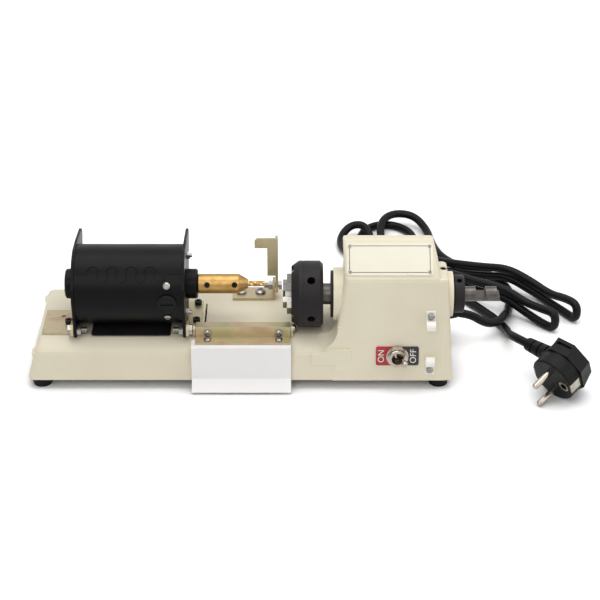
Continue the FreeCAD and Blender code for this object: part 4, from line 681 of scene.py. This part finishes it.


# %% [markdown]
# ### Clear sheet
# The guard is a clear sheet gone milky with fine scratches. Clean glass would be the first thing to
# try, but it would show all that lies behind. This sheet looks nearly white, and what is behind shows
# faintly, so it is a white plastic with a little transparency. Its white is partly the sheet's own
# milkiness and partly a painted reflection of the white room, and its whiter edges are painted
# highlights.

# %% Milky clear sheet of the guard
def clear_sheet():
    light, dark = screen(254, 252, 251), screen(251, 248, 246)
    material, tree, shader = new_finish("clear_sheet", IOR=1.49, Alpha=0.86)
    colour = add_blotches(tree, shader, light, dark, scale=26, low=0.10, high=0.2)
    # The white edges are painted highlights, and the near-white colour is partly a painted reflection.
    add_worn_and_lit_edges(tree, shader, colour, screen(255, 255, 255), width_mm=0.5, amount=0.9)
    add_skin(tree, shader, scale=300, depth_mm=0.03, strength=0.25)
    return material


FINISHES["clear_sheet"] = clear_sheet()
print("finish: clear sheet")


# %% [markdown]
# ### Inks
# Printed lines and letters are a thin film, a little uneven. They could be part of the plates'
# materials, but as thin pieces of their own they stay sharp from near. Two inks are enough: a dark one
# for the nameplate's border and a white one for the switch's words.

# %% Inks of the printed lines and letters
def ink(name, light, dark):
    """A thin printed film with a little unevenness."""
    material, tree, shader = new_finish(name, IOR=1.5)
    add_blotches(tree, shader, light, dark, scale=300, low=0.4, high=0.55)
    return material


DARK_INK = ink("dark_ink", screen(74, 68, 62), screen(58, 53, 49))
WHITE_INK = ink("white_ink", screen(240, 238, 232), screen(226, 223, 216))
print("inks: dark, white")


# %% [markdown]
# ### Dress the solid pieces
# Each solid comes with a slot named for its finish, so dressing is one lookup. Two pieces differ from
# their slot: the spindle is ground steel painted darker than the screws, a painted dark reflection of
# surroundings darker than the white room, and the switch's body is nickel.

# %% Dressing
SPECIAL = {"spindle": DARK_REFLECTION_STEEL, "switch_body": FINISHES["nickel"]}

for name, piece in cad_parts.items():
    for place in piece.material_slots:
        place.material = SPECIAL.get(name) or FINISHES[place.material.name]
mains_lead.data.materials.append(FINISHES["cord_rubber"])
print("dressed", len(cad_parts), "pieces")


# %% [markdown]
# ## Small pieces that the solid model leaves plain
# A line printed round the nameplate, the letters on the switch plate and the threads on the bolts give
# a bench machine its scale. Each is modelled at the origin, where sizes are easy to read, and then
# moved to its place. The places come from the solid pieces where they can, so the two can't drift apart.

# %% Helpers for small pieces
FACING = 0.3
SAME_PLANE = 0.999
CORNER_STEPS = 5
SMOOTH_BELOW = math.radians(40)


def only(piece):
    """Selects one piece and nothing else."""
    bpy.ops.object.select_all(action="DESELECT")
    piece.select_set(True)
    bpy.context.view_layer.objects.active = piece


def outer_face(piece, towards):
    """A place on a piece's largest flat face on one side, with X along the machine and Z outwards."""
    facing = [face for face in piece.data.polygons if face.normal.dot(Vector(towards)) > FACING]
    normal = max(facing, key=lambda face: face.area).normal.copy()
    flat = [face for face in facing if face.normal.dot(normal) > SAME_PLANE]
    area = sum(face.area for face in flat)
    middle = sum((face.center * face.area for face in flat), Vector()) / area
    across = Vector((1, 0, 0))
    turn = Matrix((across, normal.cross(across), normal)).transposed().to_4x4()
    return Matrix.Translation(middle) @ turn


def rounded_plane(width, depth, corner):
    """A flat plane with rounded corners, at the origin and left in edit mode."""
    bpy.ops.object.select_all(action="DESELECT")
    bpy.ops.mesh.primitive_plane_add(size=MM)
    piece = bpy.context.object
    piece.scale = (width, depth, 1)
    bpy.ops.object.transform_apply(scale=True)
    bpy.ops.object.mode_set(mode="EDIT")
    bpy.ops.mesh.bevel(offset=corner * MM, segments=CORNER_STEPS, affect="VERTICES")
    return piece


def lift(height):
    """Extrudes what is selected upwards."""
    bpy.ops.mesh.extrude_region_move(TRANSFORM_OT_translate={"value": (0, 0, height * MM)})


def leave_edit_mode():
    """Turns all faces outwards and goes back to object mode."""
    bpy.ops.mesh.select_all(action="SELECT")
    bpy.ops.mesh.normals_make_consistent(inside=False)
    bpy.ops.object.mode_set(mode="OBJECT")


def settle(piece, name, place, body, finish):
    """Moves a piece to its place, puts the place into its mesh, and gives it its body and finish."""
    piece.name = name
    piece.data.name = name
    piece.matrix_world = place
    only(piece)
    bpy.ops.object.transform_apply(location=True, rotation=True, scale=True)
    piece.data.materials.clear()
    piece.data.materials.append(finish)
    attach(piece, body)
    print("piece:", name, [round(v / MM, 1) for v in piece.dimensions], "mm")


print("helpers: small pieces")


# %% [markdown]
# ### The nameplate's border
# The border is a printed line with rounded corners. A plane gets round corners from a vertex bevel, an
# inset makes the line's width, and taking the middle out leaves a frame. A hair of thickness keeps it
# from flickering against the plate.

# %% Nameplate border
BORDER_SIZE = (60.0, 21.0)
BORDER_LINE = 0.5
BORDER_CORNER = 1.5
INK_HEIGHT = 0.04

border = rounded_plane(*BORDER_SIZE, BORDER_CORNER)
bpy.ops.mesh.inset(thickness=BORDER_LINE * MM)
bpy.ops.mesh.delete(type="FACE")
bpy.ops.mesh.select_all(action="SELECT")
lift(INK_HEIGHT)
leave_edit_mode()
plate_place = outer_face(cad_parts["nameplate"], (0, -1, 1))
settle(border, "nameplate_border", plate_place, "base", DARK_INK)


# %% [markdown]
# ### Painted shade under the motor
# The bed under the motor lies in deep shade. A thin black sheet on the bed paints that shade in: a
# plane with rounded corners, given its thickness by an extrusion, with its upper rim softened by a
# bevel. It sinks a hair into the bed's crown, so no gap shows.

# %% Painted shade under the motor
SHADE_SHEET_X = (-129.0, -69.5)
SHADE_SHEET_Y = (-28.8, 3.0)
SHADE_SHEET_THICKNESS = 0.7
SHADE_SHEET_CORNER = 2.0
SHADE_SHEET_RIM = 0.2
SHADE_SHEET_RIM_STEPS = 2
SHADE_SHEET_SINK = 0.05

# A thin black sheet on the bed under the motor: painted shade, not a part of the machine.
shade_sheet = rounded_plane(SHADE_SHEET_X[1] - SHADE_SHEET_X[0], SHADE_SHEET_Y[1] - SHADE_SHEET_Y[0], SHADE_SHEET_CORNER)
lift(SHADE_SHEET_THICKNESS)
bpy.ops.mesh.bevel(offset=SHADE_SHEET_RIM * MM, segments=SHADE_SHEET_RIM_STEPS)
leave_edit_mode()
bpy.ops.object.shade_smooth_by_angle(angle=SMOOTH_BELOW)
bed_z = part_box("motor_bracket_left")[0][2]
shade_sheet_place = Matrix.Translation((sum(SHADE_SHEET_X) / 2 * MM, sum(SHADE_SHEET_Y) / 2 * MM, bed_z - SHADE_SHEET_SINK * MM))
settle(shade_sheet, "motor_shade_sheet", shade_sheet_place, "base", FINISHES["black_rubber"])


# %% [markdown]
# ### ON and OFF
# The letters stand upright beside the lever and read from below to above. A text object is the natural
# start; it is made a mesh before it is turned and moved, so that its place ends up in the mesh.

# %% Switch letters
LETTER_SIZE = 6.6
LETTER_OFFSET = 12.0
QUARTER_TURN = math.radians(90)

switch_place = outer_face(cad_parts["switch_plate"], (0, -1, 0))
reading_up = Matrix.Rotation(QUARTER_TURN, 4, "Z")
for word, side in (("ON", -1), ("OFF", 1)):
    bpy.ops.object.select_all(action="DESELECT")
    bpy.ops.object.text_add()
    text = bpy.context.object.data
    text.body = word
    text.align_x = "CENTER"
    text.align_y = "CENTER"
    text.size = LETTER_SIZE * MM
    text.extrude = INK_HEIGHT * MM / 2
    bpy.ops.object.convert(target="MESH")
    letters = bpy.context.object
    shift = Matrix.Translation((side * LETTER_OFFSET * MM, 0, INK_HEIGHT * MM))
    word_place = switch_place @ shift @ reading_up
    settle(letters, f"switch_word_{word.lower()}", word_place, "base", WHITE_INK)


# %% [markdown]
# ### The chuck's dust ring
# A thin black ring closes the joint between the chuck's body and its scroll ring, so no light shows
# through. A circle's edge is extruded and scaled up into a flat ring, which gets its hair of thickness
# from a Solidify modifier. The joint lies between the body's outer rim and the scroll ring's face.

# %% Dust ring
DUST_RING = (14.3, 24.5)
DUST_RING_THICKNESS = 0.13
DUST_RING_SIDES = 96

body_low, body_high = (Vector(corner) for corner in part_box("chuck_body"))
ring_face_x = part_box("chuck_ring")[0][0]
ring_middle = body_low.lerp(body_high, 0.5)
chuck_points = [vertex.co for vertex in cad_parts["chuck_body"].data.vertices]
rim_points = [co for co in chuck_points if (co.yz - ring_middle.yz).length > DUST_RING[1] * MM]
ring_middle.x = (max(co.x for co in rim_points) + ring_face_x) / 2
bpy.ops.object.select_all(action="DESELECT")
bpy.ops.mesh.primitive_circle_add(vertices=DUST_RING_SIDES, radius=DUST_RING[0] * MM)
dust_ring = bpy.context.object
bpy.ops.object.mode_set(mode="EDIT")
bpy.ops.mesh.select_all(action="SELECT")
bpy.ops.mesh.extrude_edges_move()
wider = DUST_RING[1] / DUST_RING[0]
bpy.ops.transform.resize(value=(wider, wider, 1))
bpy.ops.object.mode_set(mode="OBJECT")
wall = dust_ring.modifiers.new("wall", "SOLIDIFY")
wall.thickness = DUST_RING_THICKNESS * MM
wall.offset = 0
bpy.ops.object.modifier_apply(modifier="wall")
ring_place = Matrix.Translation(ring_middle) @ Matrix.Rotation(QUARTER_TURN, 4, "Y")
settle(dust_ring, "chuck_dust_ring", ring_place, "spindle_slide", FINISHES["black_oxide"])


# %% [markdown]
# ### Screw threads
# The bolts' ends show past their nuts, and a plain rod there looks like a dowel. Bump in the material
# would leave the rod's outline straight, so the thread is a shape: a small triangle wound round an
# axis. The Screw modifier turns and lifts it, and the two ends are filled. The root of the thread lies
# inside the rod, so no gap shows.

# %% How a thread is made
THREAD_HEIGHT = 0.45
THREAD_STEPS = 20


def thread(name, place, rod_radius, pitch, length, slot):
    """A thread round a rod that starts at a place and runs along its Z."""
    bpy.ops.object.select_all(action="DESELECT")
    bpy.ops.mesh.primitive_circle_add(vertices=3, radius=pitch * THREAD_HEIGHT * MM)
    piece = bpy.context.object
    point_out = Matrix.Rotation(QUARTER_TURN, 4, "X") @ Matrix.Rotation(-QUARTER_TURN, 4, "Z")
    piece.matrix_world = Matrix.Translation((rod_radius * MM, 0, 0)) @ point_out
    bpy.ops.object.transform_apply(location=True, rotation=True)
    winding = piece.modifiers.new("winding", "SCREW")
    winding.screw_offset = pitch * MM
    winding.iterations = int(length / pitch)
    winding.steps = THREAD_STEPS
    winding.render_steps = THREAD_STEPS
    bpy.ops.object.modifier_apply(modifier="winding")
    bpy.ops.object.mode_set(mode="EDIT")
    bpy.ops.mesh.select_all(action="SELECT")
    bpy.ops.mesh.fill_holes(sides=0)
    leave_edit_mode()
    bpy.ops.object.shade_smooth_by_angle(angle=SMOOTH_BELOW)
    settle(piece, name, place, "base", FINISHES[slot])


def along_x(x, middle):
    """A place on a bolt's axis whose Z runs along the machine."""
    return Matrix.Translation((x, middle.y, middle.z)) @ Matrix.Rotation(QUARTER_TURN, 4, "Y")


def inner_ends(name, split):
    """Along X, where a node's left-hand solid ends and where its right-hand one begins."""
    places = [vertex.co.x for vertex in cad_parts[name].data.vertices]
    return max(x for x in places if x < split), min(x for x in places if x > split)


print("helpers: threads")


# %% [markdown]
# ### Where the threads are
# The motor's two pivot bolts show a little thread past their nuts, on the side of the motor, the gauge's
# bolt shows some at its left end, and the switch's bush between its nut and its tip. The bolts' places
# come from the solid pieces.

# %% Threads
BOLT_RADIUS = 1.95
BOLT_PITCH = 0.7
BUSH_RADIUS = 5.85
BUSH_PITCH = 0.75
BUSH_SHOWS = (3.9, 6.2)

nut_low, nut_high = (Vector(corner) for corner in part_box("motor_pivot_nuts"))
nut_middle = (nut_low + nut_high) / 2
left_tip, right_tip = inner_ends("motor_pivot_bolts", nut_middle.x)
left_nut, right_nut = inner_ends("motor_pivot_nuts", nut_middle.x)
gauge_low, gauge_high = (Vector(corner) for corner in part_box("gauge_pivot_nut"))
gauge_middle = (gauge_low + gauge_high) / 2
gauge_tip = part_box("gauge_pivot_bolt")[0][0]
shown_ends = [("pivot_thread_left", left_nut, left_tip, nut_middle)]
shown_ends += [("pivot_thread_right", right_tip, right_nut, nut_middle)]
shown_ends += [("gauge_thread", gauge_tip, gauge_low.x, gauge_middle)]
for name, first, last, middle in shown_ends:
    thread(name, along_x(first, middle), BOLT_RADIUS, BOLT_PITCH, (last - first) / MM, "bright_steel")
bush_place = switch_place @ Matrix.Translation((0, 0, BUSH_SHOWS[0] * MM))
thread("switch_thread", bush_place, BUSH_RADIUS, BUSH_PITCH, BUSH_SHOWS[1] - BUSH_SHOWS[0], "nickel")


# %% [markdown]
# ## Floor
# The machine stands on a wide, flat, white floor. More lamps would whiten it too, but they would bleach
# the cream paint. So the floor keeps a real shadow, and to the camera and in reflections it is lifted
# towards pure white, more so further away. An Ambient Occlusion node holds the lift back in the corners
# under the base, the lead and the plug, where a shadow belongs.

# %% White floor
FLOOR_SIZE = 8.0
FLOOR_GREY = 0.93
LIFT_NEAR, LIFT_FAR = 0.3, 0.75
SHARE_NEAR, SHARE_FAR = 0.6, 1.0
GLOW_NEAR, GLOW_FAR = 1.5, 1.02
CORNER_REACH = 0.03
CORNER_SAMPLES = 8
CORNER_DARK, CORNER_OPEN = 0.45, 0.95


def seen_directly(tree):
    """1 for rays from the camera, a reflection or a clear sheet, and 0 for light on the machine."""
    seen = add_node(tree, "LightPath")
    rays = {0: seen.outputs["Is Camera Ray"], 1: seen.outputs["Is Glossy Ray"]}
    direct = add_node(tree, "Math", rays, operation="MAXIMUM")
    rays = {0: direct.outputs["Value"], 1: seen.outputs["Is Transmission Ray"]}
    return add_node(tree, "Math", rays, operation="MAXIMUM").outputs["Value"]


def floor_white():
    """A matt white floor that is lifted towards pure white where it is seen directly."""
    material = bpy.data.materials.new("floor_white")
    material.use_nodes = True
    tree = material.node_tree
    tree.nodes.clear()
    spot = add_node(tree, "TexCoord").outputs["Object"]
    away = add_node(tree, "VectorMath", {0: spot}, operation="LENGTH").outputs["Value"]
    fade = {"Value": away, "From Min": LIFT_NEAR, "From Max": LIFT_FAR}
    share_fade = fade | {"To Min": SHARE_NEAR, "To Max": SHARE_FAR}
    share = add_node(tree, "MapRange", share_fade, interpolation_type="SMOOTHSTEP").outputs["Result"]
    glow_fade = fade | {"To Min": GLOW_NEAR, "To Max": GLOW_FAR}
    strength = add_node(tree, "MapRange", glow_fade).outputs["Result"]
    corner = add_node(tree, "AmbientOcclusion", {"Distance": CORNER_REACH}, samples=CORNER_SAMPLES)
    unshaded = stretched(tree, corner.outputs["AO"], CORNER_DARK, CORNER_OPEN)
    lifted = product(tree, product(tree, seen_directly(tree), share), unshaded)
    matt = add_node(tree, "BsdfDiffuse", {"Color": (FLOOR_GREY, FLOOR_GREY, FLOOR_GREY, 1.0)})
    glow = add_node(tree, "Emission", {"Color": (1, 1, 1, 1), "Strength": strength})
    mix = {"Fac": lifted, 1: matt.outputs["BSDF"], 2: glow.outputs["Emission"]}
    blend = add_node(tree, "MixShader", mix)
    add_node(tree, "OutputMaterial", {"Surface": blend.outputs["Shader"]})
    return material


bpy.ops.object.select_all(action="DESELECT")
bpy.ops.mesh.primitive_plane_add(size=FLOOR_SIZE, location=(0, 0, 0))
floor = bpy.context.object
floor.name = "white_floor"
floor.data.materials.append(floor_white())
print("floor: white,", FLOOR_SIZE, "m wide")


# %% [markdown]
# ## Light
# The light is soft and even, as in a tent: a weak white world, a wide soft box overhead, one in front
# and above that lights the front of the base, and a small one at the right that shapes the headstock's
# end. The world is white to the camera and in reflections, and weaker as a light.

# %% World and lamps
WORLD_LIGHT = 0.3
WORLD_SEEN = 1.0

world = bpy.data.worlds.new("white_room")
scene.world = world
world.use_nodes = True
sky = world.node_tree.nodes["Background"]
sky.inputs["Color"].default_value = (1, 1, 1, 1)
sky_levels = {"Value": seen_directly(world.node_tree), "To Min": WORLD_LIGHT, "To Max": WORLD_SEEN}
sky_strength = add_node(world.node_tree, "MapRange", sky_levels)
world.node_tree.links.new(sky_strength.outputs["Result"], sky.inputs["Strength"])


def soft_box(name, place, aim, width, height, watts):
    """An area lamp at a place, turned to shine at a point."""
    data = bpy.data.lights.new(name, "AREA")
    data.shape = "RECTANGLE"
    data.size = width
    data.size_y = height
    data.energy = watts
    lamp = bpy.data.objects.new(name, data)
    lamp.location = place
    lamp.rotation_euler = (Vector(aim) - Vector(place)).to_track_quat("-Z", "Y").to_euler()
    scene.collection.objects.link(lamp)


soft_box("overhead_box", place=(0.05, 0.1, 1.3), aim=(0.03, 0.0, 0.0), width=1.5, height=1.1, watts=12.5)
soft_box("front_box", place=(-0.3, -1.3, 1.15), aim=(0.0, 0.0, 0.05), width=1.2, height=0.9, watts=7.5)
soft_box("right_box", place=(1.3, -0.3, 0.7), aim=(0.05, 0.0, 0.05), width=0.7, height=0.7, watts=3)
scene.view_settings.view_transform = "Standard"
print("light: world and three soft boxes")
